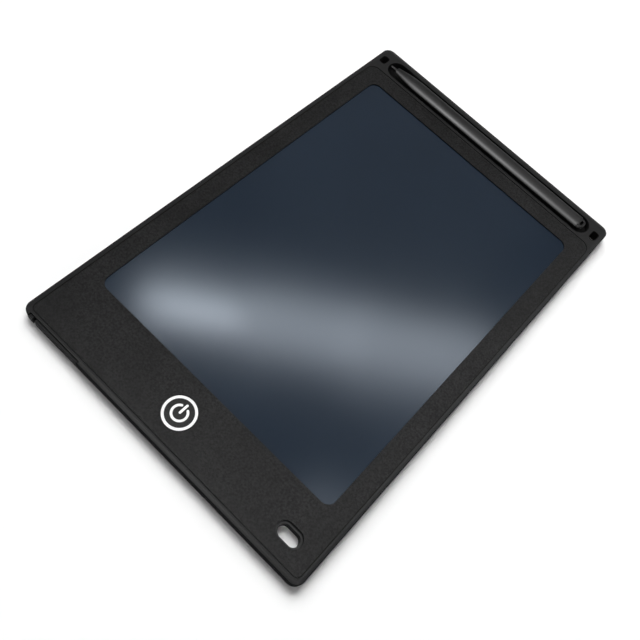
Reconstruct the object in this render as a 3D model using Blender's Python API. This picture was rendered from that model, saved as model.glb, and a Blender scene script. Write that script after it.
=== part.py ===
# LCD writing tablet, 8.5 inch class, in metres with +Z up.
# It lies on its back: the screen faces up, the stylus trough is at +Y and the erase key at -Y.
# The origin is the centre of the footprint, on the resting face.

import math
from functools import partial

import bmesh
import bpy
from mathutils import Matrix, Vector

# Case
BODY_WIDTH = 0.147
BODY_LENGTH = 0.226
BODY_CORNER_RADIUS = 0.004
CASE_WALL = 0.0013
RIM_FILLET = 0.0004
BACK_FILLET = 0.0004
BACK_FLOOR = 0.001
FRONT_PLATE = 0.0008
PARTING_HEIGHT = 0.0015
SEAM_GAP = 0.0003

# Tongue of the back shell and its snap hooks
TONGUE_GAP = 0.00025
TONGUE_WALL = 0.0008
TONGUE_HEIGHT = 0.0017
SNAP_LENGTH = 0.006
SNAP_REACH = 0.00045
SNAP_HEIGHT = 0.0004
SNAP_DROP = 0.0002
SNAP_CLEARANCE = 0.0002
SIDE_SNAP_SHARES = (-0.36, -0.12, 0.12, 0.34)
TOP_SNAP_SHARES = (-0.3, 0.0, 0.3)
BOTTOM_SNAP_SHARES = (-0.14, 0.2)

# Overlay sheet and its recess
OVERLAY_RECESS = 0.0004
OVERLAY_THICKNESS = 0.0003
OVERLAY_GAP = 0.00025
OVERLAY_SIDE_MARGIN = 0.0021
OVERLAY_BOTTOM_MARGIN = 0.0025
OVERLAY_TO_TROUGH = 0.00175
OVERLAY_LOWER_RADIUS = 0.0023
OVERLAY_UPPER_RADIUS = 0.0046

# Window in the overlay
WINDOW_SIDE_MARGIN = 0.0107
TOP_BEZEL = 0.0087
WINDOW_RADIUS = 0.004

# Screen laminate, from the overlay down, in its opening in the shell
FILM_TAPE = 0.0002
TAPE_SETBACK = 0.0008
WRITING_FILM = 0.00025
REAR_FILM = 0.00025
BLACK_BACKING = 0.0003
FILM_BORDER = 0.0036
FILM_RADIUS = 0.0015
FILM_CLEARANCE = 0.0003
CONTACT_LEDGE = 0.0021
BACKING_INSET = 0.0005
SUPPORT_RADIUS = 0.003
FENCE_LENGTH = 0.008
FENCE_WALL = 0.0009
FENCE_HEIGHT = 0.0012
FENCE_CLEARANCE = 0.0003
SIDE_FENCE_SHARES = (0.12, 0.5, 0.88)
END_FENCE_SHARES = (0.14, 0.86)

# Stylus trough, with the saddles that carry the barrel
TROUGH_TO_COLLAR = 0.00095
TROUGH_WIDTH = 0.0106
TROUGH_TO_TONGUE = 0.0002
TROUGH_WALL = 0.0007
TROUGH_FLOOR = 0.0005
TROUGH_FLARE = 0.00022
SADDLE_LENGTH = 0.0012
SADDLE_HALF_WIDTH = 0.0032
SADDLE_HEIGHT = 0.0017
SADDLE_CLEARANCE = 0.0003
SADDLE_SHARES = (-0.31, -0.11, 0.11, 0.31)
NIB_SHARE = 0.427
NIB_LENGTH = 0.0018
NIB_REACH = 0.0008
NIB_HEIGHT = 0.0008
NIB_DROP = 0.0003

# Hanging holes beside the trough
HANG_HOLE_WIDTH = 0.0035
HANG_HOLE_LENGTH = 0.005
HANG_HOLE_RADIUS = 0.0012
HANG_HOLE_TO_WALL = 0.00045
HANG_HOLE_WALL = 0.0008
HOLE_FLARE = 0.0002

# Lanyard slot, with the wider slot of the overlay round it
LANYARD_LENGTH = 0.0096
LANYARD_WIDTH = 0.0052
LANYARD_SIDE_DISTANCE = 0.0149
LANYARD_EDGE_DISTANCE = 0.0115
LANYARD_WALL = 0.001
LANYARD_RELIEF = 0.001
LANYARD_RELIEF_OFFSET = 0.0005

# Erase key
KEY_RADIUS = 0.0071
KEY_OFFSET = -0.00175
KEY_TO_LEDGE = 0.00037
KEY_SIDE_GAP = 0.00018
KEY_FLANGE_REACH = 0.0008
KEY_FLANGE_HEIGHT = 0.0003
KEY_FLANGE_GAP = 0.00015
KEY_CROWN = 0.0008
KEY_SKIRT = 0.0009
KEY_HUB_RADIUS = 0.0016
KEY_EDGE_RADIUS = 0.00012
KEY_HOLE_CLEARANCE = 0.0001

# Circuit board and what stands on it
BOARD_TO_RAIL = 0.0009
BOARD_TO_TONGUE = 0.00145
BOARD_THICKNESS = 0.0006
BOARD_STANDOFF = 0.0006
BOARD_RADIUS = 0.001
KEY_TO_BOARD_RIGHT = 0.01375
KEY_TO_BOARD_TOP = 0.00525
SWITCH_SIDE = 0.0045
SWITCH_HEIGHT = 0.00075
SWITCH_BASE = 0.0002
SWITCH_CORNER = 0.0006
PLUNGER_RADIUS = 0.00105
PLUNGER_CLEARANCE = 0.0002
PLUNGER_DEPTH = 0.0002
CHIP_LENGTH = 0.005
CHIP_WIDTH = 0.004
CHIP_HEIGHT = 0.001
CHIP_SHARES = (0.712, 0.637)
COIL_RADIUS = 0.0022
COIL_HEIGHT = 0.0012
COIL_WAIST = 0.0004
COIL_FLANGE = 0.0003
COIL_SHARES = (0.431, 0.637)
CAPACITOR_LENGTH = 0.002
CAPACITOR_WIDTH = 0.00125
CAPACITOR_HEIGHT = 0.0009
CAPACITOR_EDGE = 0.0001
LEFT_CAPACITOR_SHARES = (0.241, 0.58)
RIGHT_CAPACITOR_SHARES = (0.896, 0.85)
BOSS_RADIUS = 0.0018
SCREW_SHANK_RADIUS = 0.00055
SCREW_HEAD_RADIUS = 0.0013
SCREW_HEAD_HEIGHT = 0.0005
SCREW_DEPTH = 0.001
SCREW_CLEARANCE = 0.0002
SCREW_RECESS_LENGTH = 0.0015
SCREW_RECESS_WIDTH = 0.0004
SCREW_RECESS_DEPTH = 0.0003
LEFT_SCREW_SHARES = (0.88, 0.17)
RIGHT_SCREW_EDGE_DISTANCE = 0.0025
LEAD_WIDTH = 0.003
LEAD_THICKNESS = 0.00015
LEAD_LAP = 0.0015
LEAD_DROP_RUN = 0.0036
LEFT_LEAD_SHARE = 0.45
RIGHT_LEAD_SHARE = 0.73

# Coin cell, 2016 size
CELL_RADIUS = 0.01
CELL_THICKNESS = 0.0016
CELL_HEADROOM = 0.00075
CELL_WALL = 0.001
CELL_BASE = 0.0002
CELL_GASKET = 0.0004
CELL_CAP_STEP = 0.0001
CELL_EDGE = 0.00015

# Battery drawer
DRAWER_FACE_DEPTH = 0.0011
DRAWER_FACE_DROP = 0.00025
DRAWER_FACE_RISE = 0.0003
DRAWER_FACE_EDGE = 0.0003
DRAWER_CLEARANCE = 0.0003
DRAWER_SKID = 0.00015
TRAY_SIDE_WALL = 0.0016
TRAY_FLOOR = 0.0003
TRAY_LEDGE = 0.0015
TRAY_REVEAL = 0.00005
TRAY_CELL_GAP = 0.0002
TRAY_FRONT_WALL = 0.0007
TRAY_WRAP = 0.0062
TRAY_CORNER_RADIUS = 0.0012
LATCH_GAP = 0.0015
LATCH_WIDTH = 0.0019
LATCH_ARM_WIDTH = 0.0008
LATCH_ARM_HEIGHT = 0.0014
LATCH_BRIDGE = 0.0015
GRIP_GROOVE_WIDTH = 0.0006
GRIP_GROOVE_DEPTH = 0.0002
GRIP_GROOVE_PITCH = 0.0012
GRIP_GROOVE_COUNT = 5
RAIL_WALL = 0.001
RAIL_HEIGHT = 0.0016
RAIL_INSET = 0.001

# Battery contacts
CONTACT_THICKNESS = 0.0002
CONTACT_WIDTH = 0.004
CONTACT_GAP = 0.0001
CONTACT_FOOT = 0.0027
CONTACT_RISE_RUN = 0.0012
CONTACT_SPRING = 0.00015
CONTACT_TOE = 0.0028
LEAF_HEIGHT = 0.0008
LEAF_SPRING = 0.0007
LEAF_REACH = 0.0055
LEAF_RETURN = 0.0065
LEAF_FOOT = 0.003

# Erase lock: slider on the back, switch on the board
LOCK_SHARES = (0.431, 0.21)
LOCK_TRAVEL = 0.002
LOCK_CAP_LENGTH = 0.004
LOCK_CAP_WIDTH = 0.0024
LOCK_CAP_SINK = 0.00015
LOCK_CLEARANCE = 0.0002
LOCK_RIDGE_DEPTH = 0.0002
LOCK_RIDGE_COUNT = 4
LOCK_FLANGE_LAP = 0.0006
LOCK_FLANGE_HEIGHT = 0.0003
LOCK_FLANGE_GAP = 0.0001
LOCK_POST = 0.001
LOCK_POST_ENTRY = 0.0004
LOCK_SWITCH_LENGTH = 0.008
LOCK_SWITCH_WIDTH = 0.0032
LOCK_SWITCH_HEIGHT = 0.0012
LOCK_SWITCH_ROOF = 0.0006

# Stylus
STYLUS_RADIUS = 0.003
STYLUS_SINK = 0.003
TIP_END_GAP = 0.0008
LOOP_END_GAP = 0.0025
NOSE_LENGTH = 0.0152
NOSE_END_RADIUS = 0.0014
TAIL_CHAMFER = 0.00025
TIP_RADIUS = 0.00045
TIP_ROOT_RADIUS = 0.0007
TIP_BORE_CLEARANCE = 0.0001
TIP_SEAT = 0.0045
TIP_LENGTH = 0.004
TIP_SHOULDER = 0.0005
TAIL_BORE_RADIUS = 0.0022
TAIL_BORE_DEPTH = 0.0055
TAIL_PLUG_CLEARANCE = 0.0001
TAIL_PLUG_PROUD = 0.0005
LOOP_LENGTH = 0.003
LOOP_WIDTH = 0.0054
LOOP_THICKNESS = 0.0022
LOOP_WALL = 0.0011
LOOP_ROOT_RADIUS = 0.0003
LOOP_STANDOFF = 0.0001

# How finely round things are divided
BODY_CORNER_STEPS = 8
SMALL_CORNER_STEPS = 5
FILLET_STEPS = 3
TROUGH_STEPS = 12
ROUND_STEPS = 48
CELL_STEPS = 48
BARREL_STEPS = 32
PIN_STEPS = 20
NOSE_STEPS = 8
SADDLE_STEPS = 10

# Working values
OVERRUN = 0.001
MERGE_DISTANCE = 0.000001
LEVEL_TOLERANCE = 0.00001
FULL_TURN = 2 * math.pi
QUARTER_TURN = math.pi / 2
SMOOTH_ANGLE = math.radians(35)

# Levels, from the resting face up: the coin cell and the contact over it set the thickness of the case
FLOOR_LEVEL = BACK_FLOOR
FRONT_BOTTOM = PARTING_HEIGHT + SEAM_GAP
TONGUE_TOP = PARTING_HEIGHT + TONGUE_HEIGHT
BOARD_BOTTOM = FLOOR_LEVEL + BOARD_STANDOFF
BOARD_TOP = BOARD_BOTTOM + BOARD_THICKNESS
TROUGH_LEVEL = FLOOR_LEVEL + TROUGH_FLOOR
TRAY_BOTTOM = FLOOR_LEVEL + DRAWER_SKID
CELL_BOTTOM = TRAY_BOTTOM + TRAY_FLOOR
CELL_TOP = CELL_BOTTOM + CELL_THICKNESS
TRAY_TOP = CELL_TOP - TRAY_REVEAL
PLATE_UNDERSIDE = CELL_TOP + CELL_HEADROOM
PLATE_MIDDLE = PLATE_UNDERSIDE + FRONT_PLATE / 2
RECESS_LEVEL = PLATE_UNDERSIDE + FRONT_PLATE
FILM_TOP = RECESS_LEVEL - FILM_TAPE
REAR_FILM_TOP = FILM_TOP - WRITING_FILM
BACKING_TOP = REAR_FILM_TOP - REAR_FILM
SUPPORT_TOP = BACKING_TOP - BLACK_BACKING
OVERLAY_TOP = RECESS_LEVEL + OVERLAY_THICKNESS
BODY_TOP = RECESS_LEVEL + OVERLAY_RECESS
STYLUS_Z = BODY_TOP - STYLUS_SINK + STYLUS_RADIUS
KEY_FLANGE_TOP = PLATE_UNDERSIDE - KEY_FLANGE_GAP
KEY_BOTTOM = KEY_FLANGE_TOP - KEY_FLANGE_HEIGHT
FACE_BOTTOM = DRAWER_FACE_RISE
FACE_TOP = BODY_TOP - DRAWER_FACE_DROP

# The case and the holes in its top edge
HALF_WIDTH = BODY_WIDTH / 2
HALF_LENGTH = BODY_LENGTH / 2
TONGUE_INSET = CASE_WALL + TONGUE_GAP
CAVITY_INSET = TONGUE_INSET + TONGUE_WALL
HANG_COLLAR_HALF_WIDTH = HANG_HOLE_WIDTH / 2 + HANG_HOLE_WALL
HANG_HOLE_X = HALF_WIDTH - CASE_WALL - HANG_HOLE_TO_WALL - HANG_COLLAR_HALF_WIDTH
TROUGH_LENGTH = 2 * (HANG_HOLE_X - HANG_COLLAR_HALF_WIDTH - TROUGH_TO_COLLAR - TROUGH_WALL)
TROUGH_Y = HALF_LENGTH - CAVITY_INSET - TROUGH_TO_TONGUE - TROUGH_WALL - TROUGH_WIDTH / 2
LANYARD_X = HALF_WIDTH - LANYARD_SIDE_DISTANCE
LANYARD_Y = LANYARD_EDGE_DISTANCE - HALF_LENGTH

# The drawer, from the corner of the case to its right rail
TRAY_HALF_WIDTH = CELL_RADIUS + TRAY_CELL_GAP + TRAY_SIDE_WALL
OPENING_LEFT = BODY_CORNER_RADIUS - HALF_WIDTH
LATCH_LEFT = OPENING_LEFT + DRAWER_CLEARANCE
LATCH_RIGHT = LATCH_LEFT + LATCH_WIDTH
TRAY_LEFT = LATCH_RIGHT + LATCH_GAP
DRAWER_X = TRAY_LEFT + TRAY_HALF_WIDTH
TRAY_RIGHT = DRAWER_X + TRAY_HALF_WIDTH
OPENING_RIGHT = TRAY_RIGHT + DRAWER_CLEARANCE
FACE_FRONT_Y = -HALF_LENGTH
FACE_BACK_Y = FACE_FRONT_Y + DRAWER_FACE_DEPTH
CELL_Y = FACE_BACK_Y + TRAY_FRONT_WALL + TRAY_CELL_GAP + CELL_RADIUS
TRAY_REAR_Y = CELL_Y + TRAY_WRAP

# The screen, between the contact behind the cell and the trough
LEDGE_Y = CELL_Y + CELL_RADIUS + CONTACT_GAP + CONTACT_THICKNESS + LEAF_SPRING
FILM_BOTTOM_Y = LEDGE_Y + CONTACT_LEDGE
OVERLAY_TOP_Y = TROUGH_Y - TROUGH_WIDTH / 2 - OVERLAY_TO_TROUGH
WINDOW_WIDTH = BODY_WIDTH - 2 * WINDOW_SIDE_MARGIN
WINDOW_TOP = OVERLAY_TOP_Y - TOP_BEZEL
WINDOW_BOTTOM = FILM_BOTTOM_Y + FILM_BORDER
FILM_LEFT = -WINDOW_WIDTH / 2 - FILM_BORDER
FILM_RIGHT = WINDOW_WIDTH / 2 + FILM_BORDER
FILM_TOP_Y = WINDOW_TOP + FILM_BORDER

# The key below the screen, and the board between the drawer and the key
KEY_FLANGE_RADIUS = KEY_RADIUS + KEY_SIDE_GAP + KEY_FLANGE_REACH
KEY_X = KEY_OFFSET
KEY_Y = LEDGE_Y - KEY_TO_LEDGE - KEY_FLANGE_RADIUS
BOARD_LEFT = OPENING_RIGHT + RAIL_WALL + BOARD_TO_RAIL
BOARD_RIGHT = KEY_X + KEY_TO_BOARD_RIGHT
BOARD_LOWER_Y = CAVITY_INSET + BOARD_TO_TONGUE - HALF_LENGTH
BOARD_UPPER_Y = KEY_Y + KEY_TO_BOARD_TOP
BAY_WIDTH = KEY_X - KEY_FLANGE_RADIUS - BOARD_LEFT
BOARD_DEPTH = BOARD_UPPER_Y - BOARD_LOWER_Y

# The stylus in its trough
STYLUS_NOSE_END = TROUGH_LENGTH / 2 - TIP_END_GAP - TIP_LENGTH
STYLUS_TAIL_END = TROUGH_LENGTH / 2 - LOOP_END_GAP - LOOP_LENGTH
STYLUS_CENTRE = Vector((0, TROUGH_Y, STYLUS_Z))

# Finish of each family of pieces: base colour, roughness, metallic
CASE_PLASTIC = ((0.030, 0.030, 0.032, 1.0), 0.45, 0.0)
OVERLAY_PLASTIC = ((0.022, 0.022, 0.024, 1.0), 0.60, 0.0)
STYLUS_PLASTIC = ((0.045, 0.045, 0.047, 1.0), 0.30, 0.0)
SCREEN_FILM = ((0.018, 0.028, 0.045, 1.0), 0.12, 0.0)
CLEAR_FILM = ((0.060, 0.075, 0.090, 1.0), 0.15, 0.0)
BLACK_SHEET = ((0.008, 0.008, 0.008, 1.0), 0.80, 0.0)
PALE_FOAM = ((0.700, 0.700, 0.680, 1.0), 0.90, 0.0)
TAPE = ((0.550, 0.550, 0.540, 1.0), 0.70, 0.0)
BOARD_GREEN = ((0.010, 0.130, 0.050, 1.0), 0.40, 0.0)
CHIP_BLACK = ((0.015, 0.015, 0.015, 1.0), 0.50, 0.0)
CAPACITOR_TAN = ((0.380, 0.250, 0.140, 1.0), 0.50, 0.0)
SPRING_METAL = ((0.720, 0.700, 0.650, 1.0), 0.25, 1.0)
COPPER_TAPE = ((0.700, 0.330, 0.180, 1.0), 0.35, 1.0)
CELL_STEEL = ((0.620, 0.620, 0.620, 1.0), 0.30, 1.0)
GASKET_BLACK = ((0.020, 0.020, 0.020, 1.0), 0.70, 0.0)
PALE_PLASTIC = ((0.600, 0.600, 0.580, 1.0), 0.50, 0.0)


def clear_scene():
    """Remove every object that the file starts with."""
    for item in list(bpy.data.objects):
        bpy.data.objects.remove(item, do_unlink=True)


def rounded_outline(left, right, bottom, top, radii, steps):
    """Rectangle with round corners, anticlockwise; its radii start at the lower right corner."""
    centres = (
        (right - radii[0], bottom + radii[0], radii[0]),
        (right - radii[1], top - radii[1], radii[1]),
        (left + radii[2], top - radii[2], radii[2]),
        (left + radii[3], bottom + radii[3], radii[3]),
    )
    points = []
    for corner, (x, y, radius) in enumerate(centres):
        for step in range(steps + 1):
            angle = (corner - 1 + step / steps) * QUARTER_TURN
            point = (x + radius * math.cos(angle), y + radius * math.sin(angle))
            if not points or math.dist(points[-1], point) > MERGE_DISTANCE:
                points.append(point)
    if math.dist(points[0], points[-1]) < MERGE_DISTANCE:
        points.pop()
    return points


def plain_outline(left, right, bottom, top):
    """Rectangle with square corners."""
    return rounded_outline(left, right, bottom, top, (0, 0, 0, 0), 1)


def centred_outline(x, y, length, width, radius, steps):
    """Rounded rectangle about a centre."""
    half = length / 2
    rise = width / 2
    return rounded_outline(x - half, x + half, y - rise, y + rise, (radius,) * 4, steps)


def stadium_outline(x, y, length, width, steps):
    """Slot with full round ends."""
    return centred_outline(x, y, length, width, width / 2, steps)


def circle_outline(x, y, radius, steps):
    """Circle as a regular polygon."""
    angles = [FULL_TURN * step / steps for step in range(steps)]
    return [(x + radius * math.cos(angle), y + radius * math.sin(angle)) for angle in angles]


def ribbon_outline(path, thickness):
    """Closed outline of a bent strip whose middle follows the path."""
    near, far = [], []
    for index, point in enumerate(path):
        before = Vector(path[max(index - 1, 0)])
        after = Vector(path[min(index + 1, len(path) - 1)])
        here = Vector(point)
        into = (here - before).normalized() if index else (after - here).normalized()
        out = (after - here).normalized() if index < len(path) - 1 else into
        normal = Vector((-into.y - out.y, into.x + out.x)).normalized()
        reach = thickness / 2 / max(normal.dot(Vector((-out.y, out.x))), math.cos(QUARTER_TURN / 2))
        near.append(tuple(here + normal * reach))
        far.append(tuple(here - normal * reach))
    return near + far[::-1]


def place(axis, u, v, along):
    """Point of a flat outline, stood on the plane across the axis."""
    if axis == "X":
        return Vector((along, u, v))
    if axis == "Y":
        return Vector((u, along, v))
    return Vector((u, v, along))


def prism(outline, low, high, axis="Z"):
    """Outline extruded along the axis from low to high."""
    bm = bmesh.new()
    ring = [bm.verts.new(place(axis, u, v, low)) for u, v in outline]
    face = bm.faces.new(ring)
    grown = bmesh.ops.extrude_face_region(bm, geom=[face])
    lifted = [item for item in grown["geom"] if isinstance(item, bmesh.types.BMVert)]
    bmesh.ops.translate(bm, verts=lifted, vec=place(axis, 0, 0, high - low))
    bmesh.ops.recalc_face_normals(bm, faces=bm.faces)
    return bm


def stacked(rings):
    """Solid that runs up through rings of (outline, height), each of as many points as the others."""
    bm = bmesh.new()
    levels = [[bm.verts.new((x, y, height)) for x, y in outline] for outline, height in rings]
    for lower, upper in zip(levels, levels[1:]):
        for index in range(len(lower)):
            bm.faces.new((lower[index - 1], lower[index], upper[index], upper[index - 1]))
    bm.faces.new(levels[0])
    bm.faces.new(levels[-1])
    bmesh.ops.recalc_face_normals(bm, faces=bm.faces)
    return bm


def flared_opening(outline_at, low, level, flare):
    """Cutter that runs straight up from low and widens by the flare where it meets a level."""
    straight = outline_at(0)
    return stacked([(straight, low), (straight, level - flare), (outline_at(2 * flare), level + flare)])


def turned(profile, steps, closed=False):
    """Profile of (radius, height) points spun about Z; a closed profile makes a ring."""
    bm = bmesh.new()
    verts = [bm.verts.new((radius, 0, height)) for radius, height in profile]
    edges = [bm.edges.new(pair) for pair in zip(verts, verts[1:])]
    if closed:
        edges.append(bm.edges.new((verts[-1], verts[0])))
    bmesh.ops.spin(
        bm, geom=verts + edges, axis=(0, 0, 1), cent=(0, 0, 0), dvec=(0, 0, 0),
        angle=FULL_TURN, steps=steps, use_merge=True,
    )
    bmesh.ops.remove_doubles(bm, verts=bm.verts, dist=MERGE_DISTANCE)
    bmesh.ops.recalc_face_normals(bm, faces=bm.faces)
    return bm


def round_edges_at(bm, level, width, segments):
    """Round the edges of a prism that lie at one height."""
    edges = [
        edge for edge in bm.edges
        if all(abs(vert.co.z - level) < LEVEL_TOLERANCE for vert in edge.verts)
    ]
    bmesh.ops.bevel(
        bm, geom=edges, offset=width, offset_type="OFFSET", segments=segments, profile=0.5,
        affect="EDGES", clamp_overlap=True, material=-1,
    )
    bmesh.ops.recalc_face_normals(bm, faces=bm.faces)


def moved(bm, x, y, z):
    """The same shape, moved."""
    bmesh.ops.translate(bm, verts=bm.verts, vec=(x, y, z))
    return bm


def laid_along_x(bm):
    """A shape turned about Z, laid so that its axis runs along +X through the stylus centre."""
    bmesh.ops.rotate(bm, verts=bm.verts, cent=(0, 0, 0), matrix=Matrix.Rotation(QUARTER_TURN, 3, "Y"))
    bmesh.ops.translate(bm, verts=bm.verts, vec=STYLUS_CENTRE)
    return bm


def make_material(name, finish):
    """Principled material of one piece."""
    colour, roughness, metallic = finish
    material = bpy.data.materials.new(name)
    material.use_nodes = True
    shader = material.node_tree.nodes["Principled BSDF"]
    shader.inputs["Base Color"].default_value = colour
    shader.inputs["Roughness"].default_value = roughness
    shader.inputs["Metallic"].default_value = metallic
    return material


def new_object(name, bm, origin):
    """Mesh object with its origin at a point of the world."""
    bmesh.ops.translate(bm, verts=bm.verts, vec=-origin)
    mesh = bpy.data.meshes.new(name)
    bm.to_mesh(mesh)
    bm.free()
    mesh.shade_smooth()
    mesh.set_sharp_from_angle(angle=SMOOTH_ANGLE)
    item = bpy.data.objects.new(name, mesh)
    item.location = origin
    bpy.context.scene.collection.objects.link(item)
    return item


def piece(name, bm, finish, origin=Vector((0, 0, 0)), mover=None):
    """Named piece of the tablet; a moving piece hangs on the empty of its joint."""
    item = new_object(name, bm, origin)
    item.data.materials.append(make_material(name, finish))
    if mover:
        item.parent = mover
        item.location = origin - mover.location
    return item


def tool(target, name, bm, operation):
    """Boolean of a hidden tool shape on a piece."""
    shape = new_object(f"{target.name}_{name}", bm, Vector((0, 0, 0)))
    shape.hide_render = True
    shape.display_type = "WIRE"
    step = target.modifiers.new(name, "BOOLEAN")
    step.operation = operation
    step.object = shape
    step.solver = "EXACT"


def cut(target, name, bm):
    """Take a shape away from a piece."""
    tool(target, name, bm, "DIFFERENCE")


def join(target, name, bm):
    """Fuse a shape to a piece."""
    tool(target, name, bm, "UNION")


def joint_empty(name, x, y, z):
    """Empty on the axis of a joint."""
    empty = bpy.data.objects.new(name, None)
    empty.location = (x, y, z)
    bpy.context.scene.collection.objects.link(empty)
    return empty


def body_outline(inset):
    """Outline of the case, drawn in by an inset."""
    radius = max(BODY_CORNER_RADIUS - inset, CASE_WALL)
    return rounded_outline(
        inset - HALF_WIDTH, HALF_WIDTH - inset, inset - HALF_LENGTH, HALF_LENGTH - inset,
        (radius,) * 4, BODY_CORNER_STEPS,
    )


def overlay_outline(inset):
    """Outline of the overlay's groove, drawn in by an inset."""
    lower = OVERLAY_LOWER_RADIUS - inset
    upper = OVERLAY_UPPER_RADIUS - inset
    side = HALF_WIDTH - OVERLAY_SIDE_MARGIN - inset
    return rounded_outline(
        -side, side, OVERLAY_BOTTOM_MARGIN - HALF_LENGTH + inset, OVERLAY_TOP_Y - inset,
        (lower, upper, upper, lower), BODY_CORNER_STEPS,
    )


def window_outline(growth):
    """Outline of the overlay's window, grown on all sides."""
    half = WINDOW_WIDTH / 2 + growth
    return rounded_outline(
        -half, half, WINDOW_BOTTOM - growth, WINDOW_TOP + growth,
        (WINDOW_RADIUS + growth,) * 4, BODY_CORNER_STEPS,
    )


def film_outline(lower_y, inset):
    """Outline of one sheet of the screen, drawn in by an inset."""
    return rounded_outline(
        FILM_LEFT + inset, FILM_RIGHT - inset, lower_y + inset, FILM_TOP_Y - inset,
        (FILM_RADIUS,) * 4, SMALL_CORNER_STEPS,
    )


def trough_outline(growth):
    """Outline of the stylus trough, grown on all sides."""
    return stadium_outline(0, TROUGH_Y, TROUGH_LENGTH + 2 * growth, TROUGH_WIDTH + 2 * growth, TROUGH_STEPS)


def hang_hole_outline(side, growth):
    """Outline of the hanging hole on one side, grown on all sides."""
    return centred_outline(
        side * HANG_HOLE_X, TROUGH_Y, HANG_HOLE_WIDTH + 2 * growth, HANG_HOLE_LENGTH + 2 * growth,
        HANG_HOLE_RADIUS + growth, SMALL_CORNER_STEPS,
    )


def lanyard_outline(growth, offset=0):
    """Outline of the lanyard slot, grown on all sides and moved away from the edge."""
    length = LANYARD_LENGTH + 2 * growth
    return stadium_outline(LANYARD_X, LANYARD_Y + offset, length, LANYARD_WIDTH + 2 * growth, TROUGH_STEPS)


def board_point(shares):
    """Place on the circuit board, as shares of the bay left of the key and of the board's depth."""
    return BOARD_LEFT + shares[0] * BAY_WIDTH, BOARD_LOWER_Y + shares[1] * BOARD_DEPTH


def screw_places():
    """Name and place of each board screw: one in the bay left of the key, one at the board's right edge."""
    left_x, y = board_point(LEFT_SCREW_SHARES)
    return ("left", left_x, y), ("right", BOARD_RIGHT - RIGHT_SCREW_EDGE_DISTANCE, y)


def side_snap_boxes(reach, growth):
    """Plan outlines of the hooks along the two long sides, or of their pockets."""
    inner = HALF_WIDTH - TONGUE_INSET
    half = SNAP_LENGTH / 2 + growth
    for side in (-1, 1):
        near, far = sorted((side * (inner - TONGUE_WALL / 2), side * (inner + reach)))
        for share in SIDE_SNAP_SHARES:
            y = share * BODY_LENGTH
            yield plain_outline(near, far, y - half, y + half)


def end_snap_boxes(reach, growth):
    """Plan outlines of the hooks along the top and bottom edges, or of their pockets."""
    inner = HALF_LENGTH - TONGUE_INSET
    half = SNAP_LENGTH / 2 + growth
    for side, shares in ((1, TOP_SNAP_SHARES), (-1, BOTTOM_SNAP_SHARES)):
        near, far = sorted((side * (inner - TONGUE_WALL / 2), side * (inner + reach)))
        for share in shares:
            x = share * BODY_WIDTH
            yield plain_outline(x - half, x + half, near, far)


def saddle(x):
    """Rib across the trough whose hollow top follows the barrel."""
    radius = STYLUS_RADIUS + SADDLE_CLEARANCE
    top = TROUGH_LEVEL + SADDLE_HEIGHT
    bottom = TROUGH_LEVEL - TROUGH_FLOOR / 2
    spread = math.acos(min((STYLUS_Z - top) / radius, 1))
    points = [(TROUGH_Y - SADDLE_HALF_WIDTH, bottom), (TROUGH_Y + SADDLE_HALF_WIDTH, bottom)]
    points.append((TROUGH_Y + SADDLE_HALF_WIDTH, top))
    for step in range(SADDLE_STEPS + 1):
        angle = spread - 2 * spread * step / SADDLE_STEPS
        points.append((TROUGH_Y + radius * math.sin(angle), STYLUS_Z - radius * math.cos(angle)))
    points.append((TROUGH_Y - SADDLE_HALF_WIDTH, top))
    return prism(points, x - SADDLE_LENGTH / 2, x + SADDLE_LENGTH / 2, "X")


def retaining_nib():
    """Small rounded bump on the trough's wall that keeps the stylus in."""
    x = NIB_SHARE * TROUGH_LENGTH
    wall_y = TROUGH_Y - TROUGH_WIDTH / 2
    top = BODY_TOP - NIB_DROP
    outline = rounded_outline(
        wall_y - TROUGH_WALL / 2, wall_y + NIB_REACH, top - NIB_HEIGHT, top,
        (NIB_HEIGHT / 2, NIB_HEIGHT / 2, 0, 0), SMALL_CORNER_STEPS,
    )
    return prism(outline, x - NIB_LENGTH / 2, x + NIB_LENGTH / 2, "X")


def front_shell():
    """Front casing: rim, overlay recess, screen opening, key hole, trough with saddles, and hole collars."""
    bm = prism(body_outline(0), FRONT_BOTTOM, BODY_TOP)
    round_edges_at(bm, BODY_TOP, RIM_FILLET, FILLET_STEPS)
    shell = piece("front_shell", bm, CASE_PLASTIC)
    cut(shell, "cavity", prism(body_outline(CASE_WALL), FRONT_BOTTOM - OVERRUN, PLATE_UNDERSIDE))
    join(shell, "trough_tub", prism(trough_outline(TROUGH_WALL), FLOOR_LEVEL, PLATE_MIDDLE))
    for side, name in ((-1, "left"), (1, "right")):
        collar = prism(hang_hole_outline(side, HANG_HOLE_WALL), FLOOR_LEVEL, PLATE_MIDDLE)
        join(shell, f"{name}_hole_collar", collar)
    join(shell, "lanyard_collar", prism(lanyard_outline(LANYARD_WALL), FLOOR_LEVEL, PLATE_MIDDLE))
    cut(shell, "overlay_recess", prism(overlay_outline(0), RECESS_LEVEL, BODY_TOP + OVERRUN))
    screen_opening = film_outline(LEDGE_Y, -FILM_CLEARANCE)
    cut(shell, "screen_opening", prism(screen_opening, PLATE_UNDERSIDE - OVERRUN, BODY_TOP))
    key_hole = circle_outline(KEY_X, KEY_Y, KEY_RADIUS + KEY_SIDE_GAP + KEY_HOLE_CLEARANCE, ROUND_STEPS)
    cut(shell, "key_hole", prism(key_hole, PLATE_UNDERSIDE - OVERRUN, BODY_TOP))
    cut_trough(shell)
    cut_through_holes(shell)
    notch = plain_outline(OPENING_LEFT, OPENING_RIGHT, -HALF_LENGTH - OVERRUN, CASE_WALL - HALF_LENGTH)
    cut(shell, "drawer_notch", prism(notch, FRONT_BOTTOM - OVERRUN, BODY_TOP + OVERRUN))
    cut_snap_pockets(shell)
    return shell


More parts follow.
